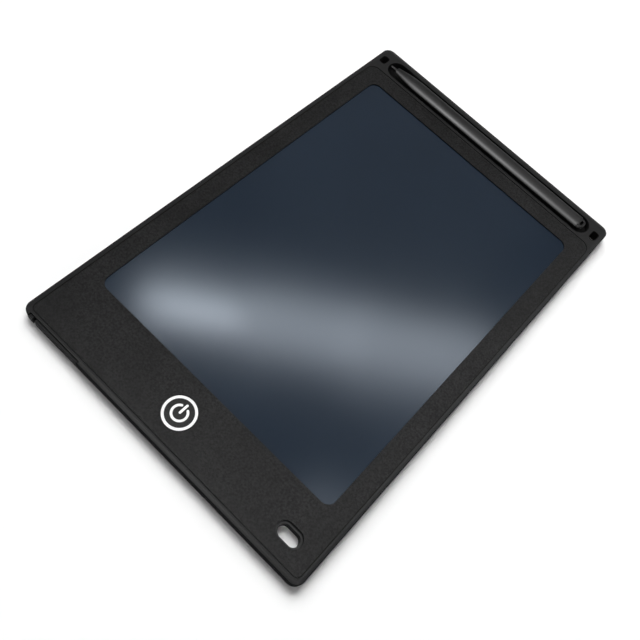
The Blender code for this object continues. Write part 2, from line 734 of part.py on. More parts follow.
def cut_trough(shell):
    """Hollow the trough, flare its edge, and set its saddles and nib."""
    cut(shell, "trough", flared_opening(trough_outline, TROUGH_LEVEL, BODY_TOP, TROUGH_FLARE))
    for index, share in enumerate(SADDLE_SHARES):
        join(shell, f"saddle_{index + 1}", saddle(share * TROUGH_LENGTH))
    join(shell, "nib", retaining_nib())


def cut_through_holes(shell):
    """Open the two hanging holes and the lanyard slot right through, with flared mouths."""
    low = FLOOR_LEVEL - OVERRUN
    for side, name in ((-1, "left"), (1, "right")):
        hole = flared_opening(partial(hang_hole_outline, side), low, BODY_TOP, HOLE_FLARE)
        cut(shell, f"{name}_hang_hole", hole)
    cut(shell, "lanyard_slot", flared_opening(lanyard_outline, low, RECESS_LEVEL, HOLE_FLARE))


def cut_snap_pockets(shell):
    """Pockets inside the walls for the back shell's hooks."""
    high = TONGUE_TOP - SNAP_DROP + SNAP_CLEARANCE
    low = TONGUE_TOP - SNAP_DROP - SNAP_HEIGHT - SNAP_CLEARANCE
    reach = SNAP_REACH + SNAP_CLEARANCE
    for index, outline in enumerate(side_snap_boxes(reach, SNAP_CLEARANCE)):
        cut(shell, f"side_pocket_{index + 1}", prism(outline, low, high))
    for index, outline in enumerate(end_snap_boxes(reach, SNAP_CLEARANCE)):
        cut(shell, f"end_pocket_{index + 1}", prism(outline, low, high))


def back_shell():
    """Back cover: flat floor, low wall with tongue and hooks, board bosses, drawer rails, film fences."""
    bm = prism(body_outline(0), 0, PARTING_HEIGHT)
    round_edges_at(bm, 0, BACK_FILLET, FILLET_STEPS)
    shell = piece("back_shell", bm, CASE_PLASTIC)
    join(shell, "tongue", prism(body_outline(TONGUE_INSET), PARTING_HEIGHT - BACK_FLOOR / 2, TONGUE_TOP))
    cut(shell, "cavity", prism(body_outline(CAVITY_INSET), FLOOR_LEVEL, TONGUE_TOP + OVERRUN))
    join_snap_hooks(shell)
    for side, name in ((-1, "left"), (1, "right")):
        relief = prism(
            hang_hole_outline(side, HANG_HOLE_WALL + DRAWER_CLEARANCE), FLOOR_LEVEL, TONGUE_TOP + OVERRUN,
        )
        cut(shell, f"{name}_collar_relief", relief)
        cut(shell, f"{name}_hang_hole", prism(hang_hole_outline(side, 0), -OVERRUN, TONGUE_TOP))
    cut(shell, "lanyard_slot", prism(lanyard_outline(0), -OVERRUN, TONGUE_TOP))
    wall_y = CASE_WALL - HALF_LENGTH
    notch = plain_outline(OPENING_LEFT, OPENING_RIGHT, -HALF_LENGTH - OVERRUN, wall_y)
    cut(shell, "drawer_notch", prism(notch, -OVERRUN, TONGUE_TOP + OVERRUN))
    way = plain_outline(OPENING_LEFT, OPENING_RIGHT, wall_y - OVERRUN, CAVITY_INSET + OVERRUN - HALF_LENGTH)
    cut(shell, "drawer_way", prism(way, FLOOR_LEVEL, TONGUE_TOP + OVERRUN))
    join_board_bosses(shell)
    join_rails(shell)
    join_fences(shell)
    x, y = board_point(LOCK_SHARES)
    slot_length = LOCK_CAP_LENGTH + LOCK_TRAVEL + 2 * LOCK_CLEARANCE
    slot_width = LOCK_CAP_WIDTH + 2 * LOCK_CLEARANCE
    slot = centred_outline(x, y, slot_length, slot_width, LOCK_CLEARANCE, SMALL_CORNER_STEPS)
    cut(shell, "lock_slot", prism(slot, -OVERRUN, FLOOR_LEVEL + OVERRUN))
    return shell


def join_snap_hooks(shell):
    """Hooks on the outside of the tongue."""
    high = TONGUE_TOP - SNAP_DROP
    low = high - SNAP_HEIGHT
    for index, outline in enumerate(side_snap_boxes(SNAP_REACH, 0)):
        join(shell, f"side_hook_{index + 1}", prism(outline, low, high))
    for index, outline in enumerate(end_snap_boxes(SNAP_REACH, 0)):
        join(shell, f"end_hook_{index + 1}", prism(outline, low, high))


def join_board_bosses(shell):
    """Two screw bosses under the circuit board."""
    bottom = FLOOR_LEVEL - BACK_FLOOR / 4
    for name, x, y in screw_places():
        join(shell, f"{name}_boss", prism(circle_outline(x, y, BOSS_RADIUS, PIN_STEPS), bottom, BOARD_BOTTOM))
        pilot = circle_outline(x, y, SCREW_SHANK_RADIUS + SCREW_CLEARANCE, PIN_STEPS)
        low = BOARD_BOTTOM - SCREW_DEPTH - SCREW_CLEARANCE
        cut(shell, f"{name}_pilot", prism(pilot, low, BOARD_BOTTOM + OVERRUN))


def join_rails(shell):
    """Rails on both sides of the battery drawer."""
    bottom = FLOOR_LEVEL - BACK_FLOOR / 4
    top = FLOOR_LEVEL + RAIL_HEIGHT
    front_y = CAVITY_INSET + RAIL_INSET - HALF_LENGTH
    for name, left in (("left", OPENING_LEFT - RAIL_WALL), ("right", OPENING_RIGHT)):
        outline = plain_outline(left, left + RAIL_WALL, front_y, TRAY_REAR_Y)
        join(shell, f"{name}_rail", prism(outline, bottom, top))


def join_fences(shell):
    """Short ribs that hold the support board in place."""
    bottom = FLOOR_LEVEL - BACK_FLOOR / 4
    top = FLOOR_LEVEL + FENCE_HEIGHT
    inset = BACKING_INSET
    span = FILM_TOP_Y - FILM_BOTTOM_Y - 2 * inset
    for side, name in ((-1, "left"), (1, "right")):
        inner = side * (FILM_RIGHT - inset + FENCE_CLEARANCE)
        near, far = sorted((inner, inner + side * FENCE_WALL))
        for index, share in enumerate(SIDE_FENCE_SHARES):
            y = FILM_BOTTOM_Y + inset + share * span
            outline = plain_outline(near, far, y - FENCE_LENGTH / 2, y + FENCE_LENGTH / 2)
            join(shell, f"{name}_fence_{index + 1}", prism(outline, bottom, top))
    for index, share in enumerate(END_FENCE_SHARES):
        x = FILM_LEFT + share * (FILM_RIGHT - FILM_LEFT)
        for name, edge_y, side in (("lower", FILM_BOTTOM_Y + inset, -1), ("upper", FILM_TOP_Y - inset, 1)):
            inner = edge_y + side * FENCE_CLEARANCE
            near, far = sorted((inner, inner + side * FENCE_WALL))
            outline = plain_outline(x - FENCE_LENGTH / 2, x + FENCE_LENGTH / 2, near, far)
            join(shell, f"{name}_fence_{index + 1}", prism(outline, bottom, top))


def overlay_panel():
    """Matte sheet in the recess, with its window, key hole and lanyard relief."""
    sheet = prism(overlay_outline(OVERLAY_GAP), RECESS_LEVEL, OVERLAY_TOP)
    panel = piece("overlay_panel", sheet, OVERLAY_PLASTIC)
    low = RECESS_LEVEL - OVERRUN
    high = OVERLAY_TOP + OVERRUN
    cut(panel, "window", prism(window_outline(0), low, high))
    key_hole = circle_outline(KEY_X, KEY_Y, KEY_RADIUS + KEY_SIDE_GAP, ROUND_STEPS)
    cut(panel, "key_hole", prism(key_hole, low, high))
    cut(panel, "lanyard_relief", prism(lanyard_outline(LANYARD_RELIEF, LANYARD_RELIEF_OFFSET), low, high))
    return panel


def film_tape():
    """Foam tape frame that holds the writing film to the overlay."""
    frame = piece("film_tape", prism(film_outline(FILM_BOTTOM_Y, 0), FILM_TOP, RECESS_LEVEL), TAPE)
    cut(frame, "opening", prism(window_outline(TAPE_SETBACK), FILM_TOP - OVERRUN, RECESS_LEVEL + OVERRUN))


def screen_stack():
    """Writing film, rear film with its contact ledge, light absorbing sheet and support board."""
    piece("writing_film", prism(film_outline(FILM_BOTTOM_Y, 0), REAR_FILM_TOP, FILM_TOP), SCREEN_FILM)
    piece("rear_film", prism(film_outline(LEDGE_Y, 0), BACKING_TOP, REAR_FILM_TOP), CLEAR_FILM)
    piece("black_backing", prism(film_outline(FILM_BOTTOM_Y, 0), SUPPORT_TOP, BACKING_TOP), BLACK_SHEET)
    outline = rounded_outline(
        FILM_LEFT + BACKING_INSET, FILM_RIGHT - BACKING_INSET,
        FILM_BOTTOM_Y + BACKING_INSET, FILM_TOP_Y - BACKING_INSET,
        (SUPPORT_RADIUS,) * 4, SMALL_CORNER_STEPS,
    )
    piece("support_board", prism(outline, FLOOR_LEVEL, SUPPORT_TOP), PALE_FOAM)


def film_leads():
    """Two flat leads from the underside of the contact ledge down to the circuit board."""
    ledge_z = BACKING_TOP - LEAD_THICKNESS / 2
    board_z = BOARD_TOP + LEAD_THICKNESS / 2
    corner_y = BOARD_UPPER_Y - LEAD_THICKNESS
    path = [
        (corner_y + LEAD_DROP_RUN + LEAD_LAP, ledge_z),
        (corner_y + LEAD_DROP_RUN, ledge_z),
        (corner_y, board_z),
        (corner_y - LEAD_LAP, board_z),
    ]
    for name, share in (("left", LEFT_LEAD_SHARE), ("right", RIGHT_LEAD_SHARE)):
        x = BOARD_LEFT + share * BAY_WIDTH
        outline = ribbon_outline(path, LEAD_THICKNESS)
        piece(f"film_lead_{name}", prism(outline, x - LEAD_WIDTH / 2, x + LEAD_WIDTH / 2, "X"), COPPER_TAPE)


def circuit_board():
    """Board with its screw holes and the slot for the lock's post."""
    outline = rounded_outline(
        BOARD_LEFT, BOARD_RIGHT, BOARD_LOWER_Y, BOARD_UPPER_Y, (BOARD_RADIUS,) * 4, SMALL_CORNER_STEPS,
    )
    board = piece("circuit_board", prism(outline, BOARD_BOTTOM, BOARD_TOP), BOARD_GREEN)
    low = BOARD_BOTTOM - OVERRUN
    high = BOARD_TOP + OVERRUN
    for name, x, y in screw_places():
        hole = circle_outline(x, y, SCREW_SHANK_RADIUS + SCREW_CLEARANCE, PIN_STEPS)
        cut(board, f"{name}_screw_hole", prism(hole, low, high))
    cut(board, "lock_way", prism(lock_way_outline(), low, high))


def lock_way_outline():
    """Plan of the slot that the lock's post travels in."""
    x, y = board_point(LOCK_SHARES)
    length = LOCK_POST + LOCK_TRAVEL + 2 * LOCK_CLEARANCE
    return centred_outline(x, y, length, LOCK_POST + 2 * LOCK_CLEARANCE, LOCK_CLEARANCE, SMALL_CORNER_STEPS)


def board_screws():
    """Two screws that hold the board on its bosses, each with a cross recess."""
    for name, x, y in screw_places():
        profile = [
            (0, BOARD_BOTTOM - SCREW_DEPTH),
            (SCREW_SHANK_RADIUS, BOARD_BOTTOM - SCREW_DEPTH + SCREW_SHANK_RADIUS),
            (SCREW_SHANK_RADIUS, BOARD_TOP),
            (SCREW_HEAD_RADIUS, BOARD_TOP),
            (SCREW_HEAD_RADIUS, BOARD_TOP + SCREW_HEAD_HEIGHT / 2),
            (SCREW_HEAD_RADIUS - SCREW_HEAD_HEIGHT / 2, BOARD_TOP + SCREW_HEAD_HEIGHT),
            (0, BOARD_TOP + SCREW_HEAD_HEIGHT),
        ]
        origin = Vector((x, y, BOARD_TOP))
        screw = piece(f"board_screw_{name}", moved(turned(profile, PIN_STEPS), x, y, 0), SPRING_METAL, origin)
        top = BOARD_TOP + SCREW_HEAD_HEIGHT
        for way, length, width in (
            ("along", SCREW_RECESS_LENGTH, SCREW_RECESS_WIDTH),
            ("across", SCREW_RECESS_WIDTH, SCREW_RECESS_LENGTH),
        ):
            outline = centred_outline(x, y, length, width, 0, 1)
            cut(screw, f"recess_{way}", prism(outline, top - SCREW_RECESS_DEPTH, top + OVERRUN))


def tact_switch():
    """Body of the switch under the key, with the pocket that its plunger travels in."""
    outline = centred_outline(KEY_X, KEY_Y, SWITCH_SIDE, SWITCH_SIDE, SWITCH_CORNER, 1)
    top = BOARD_TOP + SWITCH_HEIGHT
    origin = Vector((KEY_X, KEY_Y, BOARD_TOP))
    body = piece("tact_switch", prism(outline, BOARD_TOP, top), CHIP_BLACK, origin)
    pocket = circle_outline(KEY_X, KEY_Y, PLUNGER_RADIUS + PLUNGER_CLEARANCE, PIN_STEPS)
    cut(body, "pocket", prism(pocket, BOARD_TOP + SWITCH_BASE, top + OVERRUN))


def board_parts():
    """Driver chip, boost coil and two capacitors."""
    x, y = board_point(CHIP_SHARES)
    chip = prism(centred_outline(x, y, CHIP_LENGTH, CHIP_WIDTH, 0, 1), BOARD_TOP, BOARD_TOP + CHIP_HEIGHT)
    round_edges_at(chip, BOARD_TOP + CHIP_HEIGHT, CAPACITOR_EDGE, 1)
    piece("driver_chip", chip, CHIP_BLACK, Vector((x, y, BOARD_TOP)))
    x, y = board_point(COIL_SHARES)
    top = BOARD_TOP + COIL_HEIGHT
    waist = COIL_RADIUS - COIL_WAIST
    profile = [
        (0, BOARD_TOP), (COIL_RADIUS, BOARD_TOP), (COIL_RADIUS, BOARD_TOP + COIL_FLANGE),
        (waist, BOARD_TOP + COIL_FLANGE), (waist, top - COIL_FLANGE),
        (COIL_RADIUS, top - COIL_FLANGE), (COIL_RADIUS, top), (0, top),
    ]
    piece("boost_coil", moved(turned(profile, PIN_STEPS), x, y, 0), CHIP_BLACK, Vector((x, y, BOARD_TOP)))
    for name, shares in (("left", LEFT_CAPACITOR_SHARES), ("right", RIGHT_CAPACITOR_SHARES)):
        x, y = board_point(shares)
        outline = centred_outline(x, y, CAPACITOR_LENGTH, CAPACITOR_WIDTH, 0, 1)
        block = prism(outline, BOARD_TOP, BOARD_TOP + CAPACITOR_HEIGHT)
        round_edges_at(block, BOARD_TOP + CAPACITOR_HEIGHT, CAPACITOR_EDGE, 1)
        piece(f"capacitor_{name}", block, CAPACITOR_TAN, Vector((x, y, BOARD_TOP)))


def erase_key():
    """Round key with a retaining flange and a hub, and the plunger that it presses."""
    mover = joint_empty("key_joint", KEY_X, KEY_Y, OVERLAY_TOP)
    skirt = KEY_RADIUS - KEY_SKIRT
    ceiling = OVERLAY_TOP - KEY_CROWN
    profile = [
        (0, KEY_BOTTOM), (KEY_HUB_RADIUS, KEY_BOTTOM), (KEY_HUB_RADIUS, ceiling),
        (skirt, ceiling), (skirt, KEY_BOTTOM), (KEY_FLANGE_RADIUS, KEY_BOTTOM),
        (KEY_FLANGE_RADIUS, KEY_FLANGE_TOP), (KEY_RADIUS, KEY_FLANGE_TOP),
        (KEY_RADIUS, OVERLAY_TOP - KEY_EDGE_RADIUS), (KEY_RADIUS - KEY_EDGE_RADIUS, OVERLAY_TOP),
        (0, OVERLAY_TOP),
    ]
    origin = Vector((KEY_X, KEY_Y, OVERLAY_TOP))
    piece("erase_key", moved(turned(profile, ROUND_STEPS), KEY_X, KEY_Y, 0), OVERLAY_PLASTIC, origin, mover)
    low = BOARD_TOP + SWITCH_HEIGHT - PLUNGER_DEPTH
    stem = circle_outline(KEY_X, KEY_Y, PLUNGER_RADIUS, PIN_STEPS)
    piece("tact_plunger", prism(stem, low, KEY_BOTTOM), PALE_PLASTIC, origin, mover)


def coin_cell(mover):
    """Coin cell as its can, the seal ring in it and the cap."""
    inner = CELL_RADIUS - CELL_WALL
    cap = inner - CELL_GASKET
    floor = CELL_BOTTOM + CELL_BASE
    crimp = CELL_TOP - CELL_CAP_STEP
    can_profile = [
        (0, CELL_BOTTOM), (CELL_RADIUS - CELL_EDGE, CELL_BOTTOM), (CELL_RADIUS, CELL_BOTTOM + CELL_EDGE),
        (CELL_RADIUS, crimp - CELL_EDGE), (CELL_RADIUS - CELL_EDGE, crimp), (inner, crimp),
        (inner, floor), (0, floor),
    ]
    gasket_profile = [(cap, floor), (inner, floor), (inner, crimp), (cap, crimp)]
    cap_profile = [
        (0, floor), (cap, floor), (cap, CELL_TOP - CELL_EDGE), (cap - CELL_EDGE, CELL_TOP), (0, CELL_TOP),
    ]
    origin = Vector((DRAWER_X, CELL_Y, CELL_BOTTOM))
    rings = (
        ("cell_can", turned(can_profile, CELL_STEPS), CELL_STEEL),
        ("cell_gasket", turned(gasket_profile, CELL_STEPS, closed=True), GASKET_BLACK),
        ("cell_cap", turned(cap_profile, CELL_STEPS), CELL_STEEL),
    )
    for name, bm, finish in rings:
        piece(name, moved(bm, DRAWER_X, CELL_Y, 0), finish, origin, mover)


def battery_drawer():
    """Tray that wraps the coin cell, its face in the bottom edge, and the squeeze latch on its arm."""
    mover = joint_empty("drawer_joint", DRAWER_X, FACE_FRONT_Y, CELL_BOTTOM)
    face = prism(plain_outline(TRAY_LEFT, TRAY_RIGHT, FACE_FRONT_Y, FACE_BACK_Y), FACE_BOTTOM, FACE_TOP)
    round_edges_at(face, FACE_TOP, DRAWER_FACE_EDGE, FILLET_STEPS)
    origin = Vector((DRAWER_X, FACE_FRONT_Y, CELL_BOTTOM))
    drawer = piece("battery_drawer", face, CASE_PLASTIC, origin, mover)
    tray = rounded_outline(
        TRAY_LEFT, TRAY_RIGHT, FACE_BACK_Y - DRAWER_FACE_DEPTH / 2, TRAY_REAR_Y,
        (0, TRAY_CORNER_RADIUS, TRAY_CORNER_RADIUS, 0), SMALL_CORNER_STEPS,
    )
    join(drawer, "tray", prism(tray, TRAY_BOTTOM, TRAY_TOP))
    well = circle_outline(DRAWER_X, CELL_Y, CELL_RADIUS + TRAY_CELL_GAP, CELL_STEPS)
    cut(drawer, "cell_well", prism(well, CELL_BOTTOM, TRAY_TOP + OVERRUN))
    window = circle_outline(DRAWER_X, CELL_Y, CELL_RADIUS - TRAY_LEDGE, CELL_STEPS)
    cut(drawer, "floor_window", prism(window, TRAY_BOTTOM - OVERRUN, TRAY_TOP + OVERRUN))
    join_latch(drawer)
    cut_grip(drawer)
    coin_cell(mover)


def join_latch(drawer):
    """Latch: a bridge from the tray, a thin arm back to the edge, and the finger pad."""
    bridge_front = TRAY_REAR_Y - TRAY_CORNER_RADIUS - LATCH_BRIDGE
    bridge_back = bridge_front + LATCH_BRIDGE
    face_middle = FACE_BACK_Y - DRAWER_FACE_DEPTH / 2
    arm_top = TRAY_BOTTOM + LATCH_ARM_HEIGHT
    arm_left = LATCH_LEFT + DRAWER_CLEARANCE
    arm_right = arm_left + LATCH_ARM_WIDTH
    bridge = plain_outline(arm_left, TRAY_LEFT + TRAY_SIDE_WALL / 2, bridge_front, bridge_back)
    join(drawer, "latch_bridge", prism(bridge, TRAY_BOTTOM, arm_top))
    arm = plain_outline(arm_left, arm_right, face_middle, bridge_front + LATCH_BRIDGE / 2)
    join(drawer, "latch_arm", prism(arm, TRAY_BOTTOM, arm_top))
    pad = prism(plain_outline(LATCH_LEFT, LATCH_RIGHT, FACE_FRONT_Y, FACE_BACK_Y), FACE_BOTTOM, FACE_TOP)
    round_edges_at(pad, FACE_TOP, DRAWER_FACE_EDGE, FILLET_STEPS)
    join(drawer, "latch_pad", pad)


def cut_grip(drawer):
    """Upright grooves in the middle of the drawer's face, for a fingernail."""
    for index in range(GRIP_GROOVE_COUNT):
        x = DRAWER_X + (index - (GRIP_GROOVE_COUNT - 1) / 2) * GRIP_GROOVE_PITCH
        groove = plain_outline(
            x - GRIP_GROOVE_WIDTH / 2, x + GRIP_GROOVE_WIDTH / 2,
            FACE_FRONT_Y - OVERRUN, FACE_FRONT_Y + GRIP_GROOVE_DEPTH,
        )
        cut(drawer, f"grip_{index + 1}", prism(groove, TRAY_BOTTOM, TRAY_TOP))


def battery_contacts():
    """Sprung strip over the cell's cap, and sprung leaf behind the edge of its can."""
    rest_z = CELL_TOP + CONTACT_GAP + CONTACT_THICKNESS / 2
    foot_z = BOARD_TOP + CONTACT_THICKNESS / 2
    root_x = BOARD_LEFT + CONTACT_THICKNESS
    path = [
        (root_x + CONTACT_FOOT, foot_z),
        (root_x, foot_z),
        (root_x - CONTACT_RISE_RUN, rest_z + CONTACT_SPRING),
        (DRAWER_X + CONTACT_TOE, rest_z + CONTACT_SPRING),
        (DRAWER_X, rest_z),
        (DRAWER_X - CONTACT_TOE, rest_z + CONTACT_SPRING),
    ]
    half = CONTACT_WIDTH / 2
    strip = prism(ribbon_outline(path, CONTACT_THICKNESS), CELL_Y - half, CELL_Y + half, "Y")
    piece("negative_contact", strip, SPRING_METAL)
    touch_y = CELL_Y + CELL_RADIUS + CONTACT_GAP + CONTACT_THICKNESS / 2
    back_y = touch_y + LEAF_SPRING
    foot_y = BOARD_UPPER_Y - CONTACT_THICKNESS - LEAF_SPRING
    leaf = [
        (DRAWER_X - LEAF_REACH, back_y),
        (DRAWER_X, touch_y),
        (DRAWER_X + LEAF_RETURN, back_y),
        (BOARD_LEFT - LEAF_SPRING, back_y),
        (BOARD_LEFT + LEAF_FOOT, foot_y),
        (BOARD_LEFT + 2 * LEAF_FOOT, foot_y),
    ]
    outline = ribbon_outline(leaf, CONTACT_THICKNESS)
    piece("positive_contact", prism(outline, BOARD_TOP, BOARD_TOP + LEAF_HEIGHT), SPRING_METAL)


def lock_slider():
    """Ridged slider in the back, with a flange inside and a post up into the switch."""
    x, y = board_point(LOCK_SHARES)
    x -= LOCK_TRAVEL / 2
    mover = joint_empty("lock_joint", x, y, FLOOR_LEVEL)
    left = x - LOCK_CAP_LENGTH / 2
    pitch = LOCK_CAP_LENGTH / LOCK_RIDGE_COUNT
    flange_bottom = FLOOR_LEVEL + LOCK_FLANGE_GAP
    points = []
    for index in range(LOCK_RIDGE_COUNT):
        start = left + index * pitch
        points.append((start, LOCK_CAP_SINK + LOCK_RIDGE_DEPTH))
        points.append((start + pitch / 2, LOCK_CAP_SINK))
    points.append((left + LOCK_CAP_LENGTH, LOCK_CAP_SINK + LOCK_RIDGE_DEPTH))
    top = flange_bottom + LOCK_FLANGE_HEIGHT / 2
    points += [(left + LOCK_CAP_LENGTH, top), (left, top)]
    cap = prism(points, y - LOCK_CAP_WIDTH / 2, y + LOCK_CAP_WIDTH / 2, "Y")
    slider = piece("lock_slider", cap, PALE_PLASTIC, Vector((x, y, FLOOR_LEVEL)), mover)
    flange = centred_outline(
        x, y, LOCK_CAP_LENGTH + 2 * LOCK_TRAVEL + 2 * LOCK_FLANGE_LAP,
        LOCK_CAP_WIDTH + 2 * LOCK_FLANGE_LAP + 2 * LOCK_CLEARANCE, 0, 1,
    )
    join(slider, "flange", prism(flange, flange_bottom, flange_bottom + LOCK_FLANGE_HEIGHT))
    post = centred_outline(x, y, LOCK_POST, LOCK_POST, 0, 1)
    join(slider, "post", prism(post, flange_bottom + LOCK_FLANGE_HEIGHT / 2, BOARD_TOP + LOCK_POST_ENTRY))


def lock_switch():
    """Slide switch on the board, open below for the slider's post."""
    x, y = board_point(LOCK_SHARES)
    outline = centred_outline(x, y, LOCK_SWITCH_LENGTH, LOCK_SWITCH_WIDTH, 0, 1)
    top = BOARD_TOP + LOCK_SWITCH_HEIGHT
    body = piece("lock_switch", prism(outline, BOARD_TOP, top), SPRING_METAL, Vector((x, y, BOARD_TOP)))
    cut(body, "post_way", prism(lock_way_outline(), BOARD_TOP - OVERRUN, top - LOCK_SWITCH_ROOF))


def barrel_profile():
    """Half section of the barrel, as (radius, distance along the axis), from nib bore to tail bore."""
    bore = TIP_ROOT_RADIUS + TIP_BORE_CLEARANCE
    nose = -STYLUS_NOSE_END
    points = [(0, nose + TIP_SEAT), (bore, nose + TIP_SEAT), (bore, nose)]
    for step in range(NOSE_STEPS + 1):
        share = step / NOSE_STEPS
        swell = math.sin(share * QUARTER_TURN)
        radius = NOSE_END_RADIUS + (STYLUS_RADIUS - NOSE_END_RADIUS) * swell
        points.append((radius, nose + share * NOSE_LENGTH))
    points += [
        (STYLUS_RADIUS, STYLUS_TAIL_END - TAIL_CHAMFER),
        (STYLUS_RADIUS - TAIL_CHAMFER, STYLUS_TAIL_END),
        (TAIL_BORE_RADIUS, STYLUS_TAIL_END),
        (TAIL_BORE_RADIUS, STYLUS_TAIL_END - TAIL_BORE_DEPTH),
        (0, STYLUS_TAIL_END - TAIL_BORE_DEPTH),
    ]
    return points


def tip_profile():
    """Half section of the nib: root in the bore, shoulder, and thin round-ended pin."""
    nose = -STYLUS_NOSE_END
    end = nose - TIP_LENGTH
    return [
        (0, end),
        (TIP_RADIUS * math.sin(QUARTER_TURN / 2), end + TIP_RADIUS * (1 - math.cos(QUARTER_TURN / 2))),
        (TIP_RADIUS, end + TIP_RADIUS),
        (TIP_RADIUS, nose - TIP_SHOULDER),
        (TIP_ROOT_RADIUS, nose),
        (TIP_ROOT_RADIUS, nose + TIP_SEAT - TIP_BORE_CLEARANCE),
        (0, nose + TIP_SEAT - TIP_BORE_CLEARANCE),
    ]


def stylus():
    """Stylus that lies in the trough: barrel, nib, and tail plug with its cord loop."""
    mover = joint_empty("stylus_joint", *STYLUS_CENTRE)
    barrel = laid_along_x(turned(barrel_profile(), BARREL_STEPS))
    piece("stylus_barrel", barrel, STYLUS_PLASTIC, STYLUS_CENTRE, mover)
    tip = laid_along_x(turned(tip_profile(), PIN_STEPS))
    piece("stylus_tip", tip, STYLUS_PLASTIC, STYLUS_CENTRE, mover)
    plug_radius = TAIL_BORE_RADIUS - TAIL_PLUG_CLEARANCE
    plug_start = STYLUS_TAIL_END - TAIL_BORE_DEPTH + TAIL_PLUG_CLEARANCE
    plug_end = STYLUS_TAIL_END + TAIL_PLUG_PROUD
    plug_profile = [(0, plug_start), (plug_radius, plug_start), (plug_radius, plug_end), (0, plug_end)]
    plug = laid_along_x(turned(plug_profile, BARREL_STEPS))
    tail = piece("stylus_tail_cap", plug, STYLUS_PLASTIC, STYLUS_CENTRE, mover)
    start = STYLUS_TAIL_END + LOOP_STANDOFF
    end = STYLUS_TAIL_END + LOOP_LENGTH
    half = LOOP_WIDTH / 2
    round_end = half - LOOP_ROOT_RADIUS
    outer = rounded_outline(
        start, end, TROUGH_Y - half, TROUGH_Y + half,
        (round_end, round_end, LOOP_ROOT_RADIUS, LOOP_ROOT_RADIUS), SMALL_CORNER_STEPS,
    )
    low = STYLUS_Z - LOOP_THICKNESS / 2
    join(tail, "loop", prism(outer, low, low + LOOP_THICKNESS))
    inner_half = half - LOOP_WALL
    hole = rounded_outline(
        plug_end, end - LOOP_WALL, TROUGH_Y - inner_half, TROUGH_Y + inner_half,
        (inner_half / 2, inner_half / 2, LOOP_ROOT_RADIUS, LOOP_ROOT_RADIUS), SMALL_CORNER_STEPS,
    )
    cut(tail, "loop_hole", prism(hole, low - OVERRUN, low + LOOP_THICKNESS + OVERRUN))


def build_tablet():
    """All pieces of the tablet."""
    clear_scene()
    back_shell()
    front_shell()
    overlay_panel()
    film_tape()
    screen_stack()
    film_leads()
    circuit_board()
    board_screws()
    tact_switch()
    board_parts()
    erase_key()
    battery_drawer()
    battery_contacts()
    lock_slider()
    lock_switch()
    stylus()


build_tablet()
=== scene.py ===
"""Looks of an LCD writing tablet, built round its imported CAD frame."""

import math
from typing import NamedTuple

import bmesh
import bpy
from bpy.props import FloatProperty, FloatVectorProperty, IntProperty, PointerProperty
from bpy.types import Operator, Panel, PropertyGroup
from mathutils import Matrix, Vector


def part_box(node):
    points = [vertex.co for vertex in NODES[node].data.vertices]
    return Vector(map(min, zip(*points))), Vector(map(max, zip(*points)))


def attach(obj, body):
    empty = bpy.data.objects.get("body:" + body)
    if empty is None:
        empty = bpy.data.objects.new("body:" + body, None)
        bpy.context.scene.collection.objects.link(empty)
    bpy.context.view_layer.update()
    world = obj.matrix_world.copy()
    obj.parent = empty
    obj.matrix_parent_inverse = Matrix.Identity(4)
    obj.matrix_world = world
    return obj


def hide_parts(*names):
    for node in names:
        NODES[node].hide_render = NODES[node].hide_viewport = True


bl_info = {
    "name": "LCD Writing Tablet",
    "version": (1, 0, 0),
    "blender": (4, 5, 0),
    "location": "3D View > Sidebar > Tablet",
    "description": "Builds the finished looks of an LCD writing tablet round its CAD frame",
    "category": "Add Mesh",
}

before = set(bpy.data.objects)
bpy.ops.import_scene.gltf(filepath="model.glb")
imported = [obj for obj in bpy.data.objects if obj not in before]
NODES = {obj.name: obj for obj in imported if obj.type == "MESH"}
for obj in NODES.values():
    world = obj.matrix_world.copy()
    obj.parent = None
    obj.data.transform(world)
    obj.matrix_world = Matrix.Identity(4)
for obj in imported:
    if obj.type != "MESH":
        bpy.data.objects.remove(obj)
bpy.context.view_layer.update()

FULL_TURN = 2 * math.pi
HALF_TURN = math.pi
QUARTER_TURN = math.pi / 2
MERGE_DISTANCE = 1e-7
FLAT_ANGLE = math.radians(1)
SMOOTH_ANGLE = math.radians(35)

# Boxes of the CAD nodes that the finished pieces are measured from
KEY_LOW, KEY_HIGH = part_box("erase_key")
BARREL_LOW, BARREL_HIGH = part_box("stylus_barrel")
TIP_LOW, TIP_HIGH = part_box("stylus_tip")
SHELL_LOW, SHELL_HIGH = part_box("front_shell")

# Lanyard slot: its middle, its straight length, and the reach of its ledge from its middle line, which bound
# the painted light on the slot's walls and ledge
SLOT_X = SHELL_HIGH.x - 0.0149
SLOT_Y = SHELL_LOW.y + 0.0115
SLOT_STRAIGHT = 0.0044
SLOT_LEDGE = 0.0036
SLOT_LEDGE_FADE = 0.0003

# Soft crown of the case's lip, by the distance in from the outer edge, and its height
CROWN_START = -0.0012
CROWN_END = 0.0024
CROWN_HEIGHT = 0.0006

# Depths under the shell's top between which its sides' finish, with its painted shade, turns into the lip's
LIP_FADE_START = 0.00003
LIP_FADE_END = 0.000003

# Under the erase key's cap
KEY_FLANGE_WIDTH = 0.00098
KEY_FLANGE_HEIGHT = 0.0003
KEY_ROOF = 0.0008
KEY_WALL = 0.0009
KEY_HUB_RADIUS = 0.0016

# Bores and roots of the stylus
NIB_BORE_RADIUS = 0.0008
NIB_BORE_DEPTH = 0.0045
NIB_ROOT_RADIUS = 0.0007
NIB_FLARE = 0.0005
TAIL_BORE_RADIUS = 0.0022
TAIL_BORE_DEPTH = 0.0055
TAIL_LOOP_ROUNDING = 0.0003

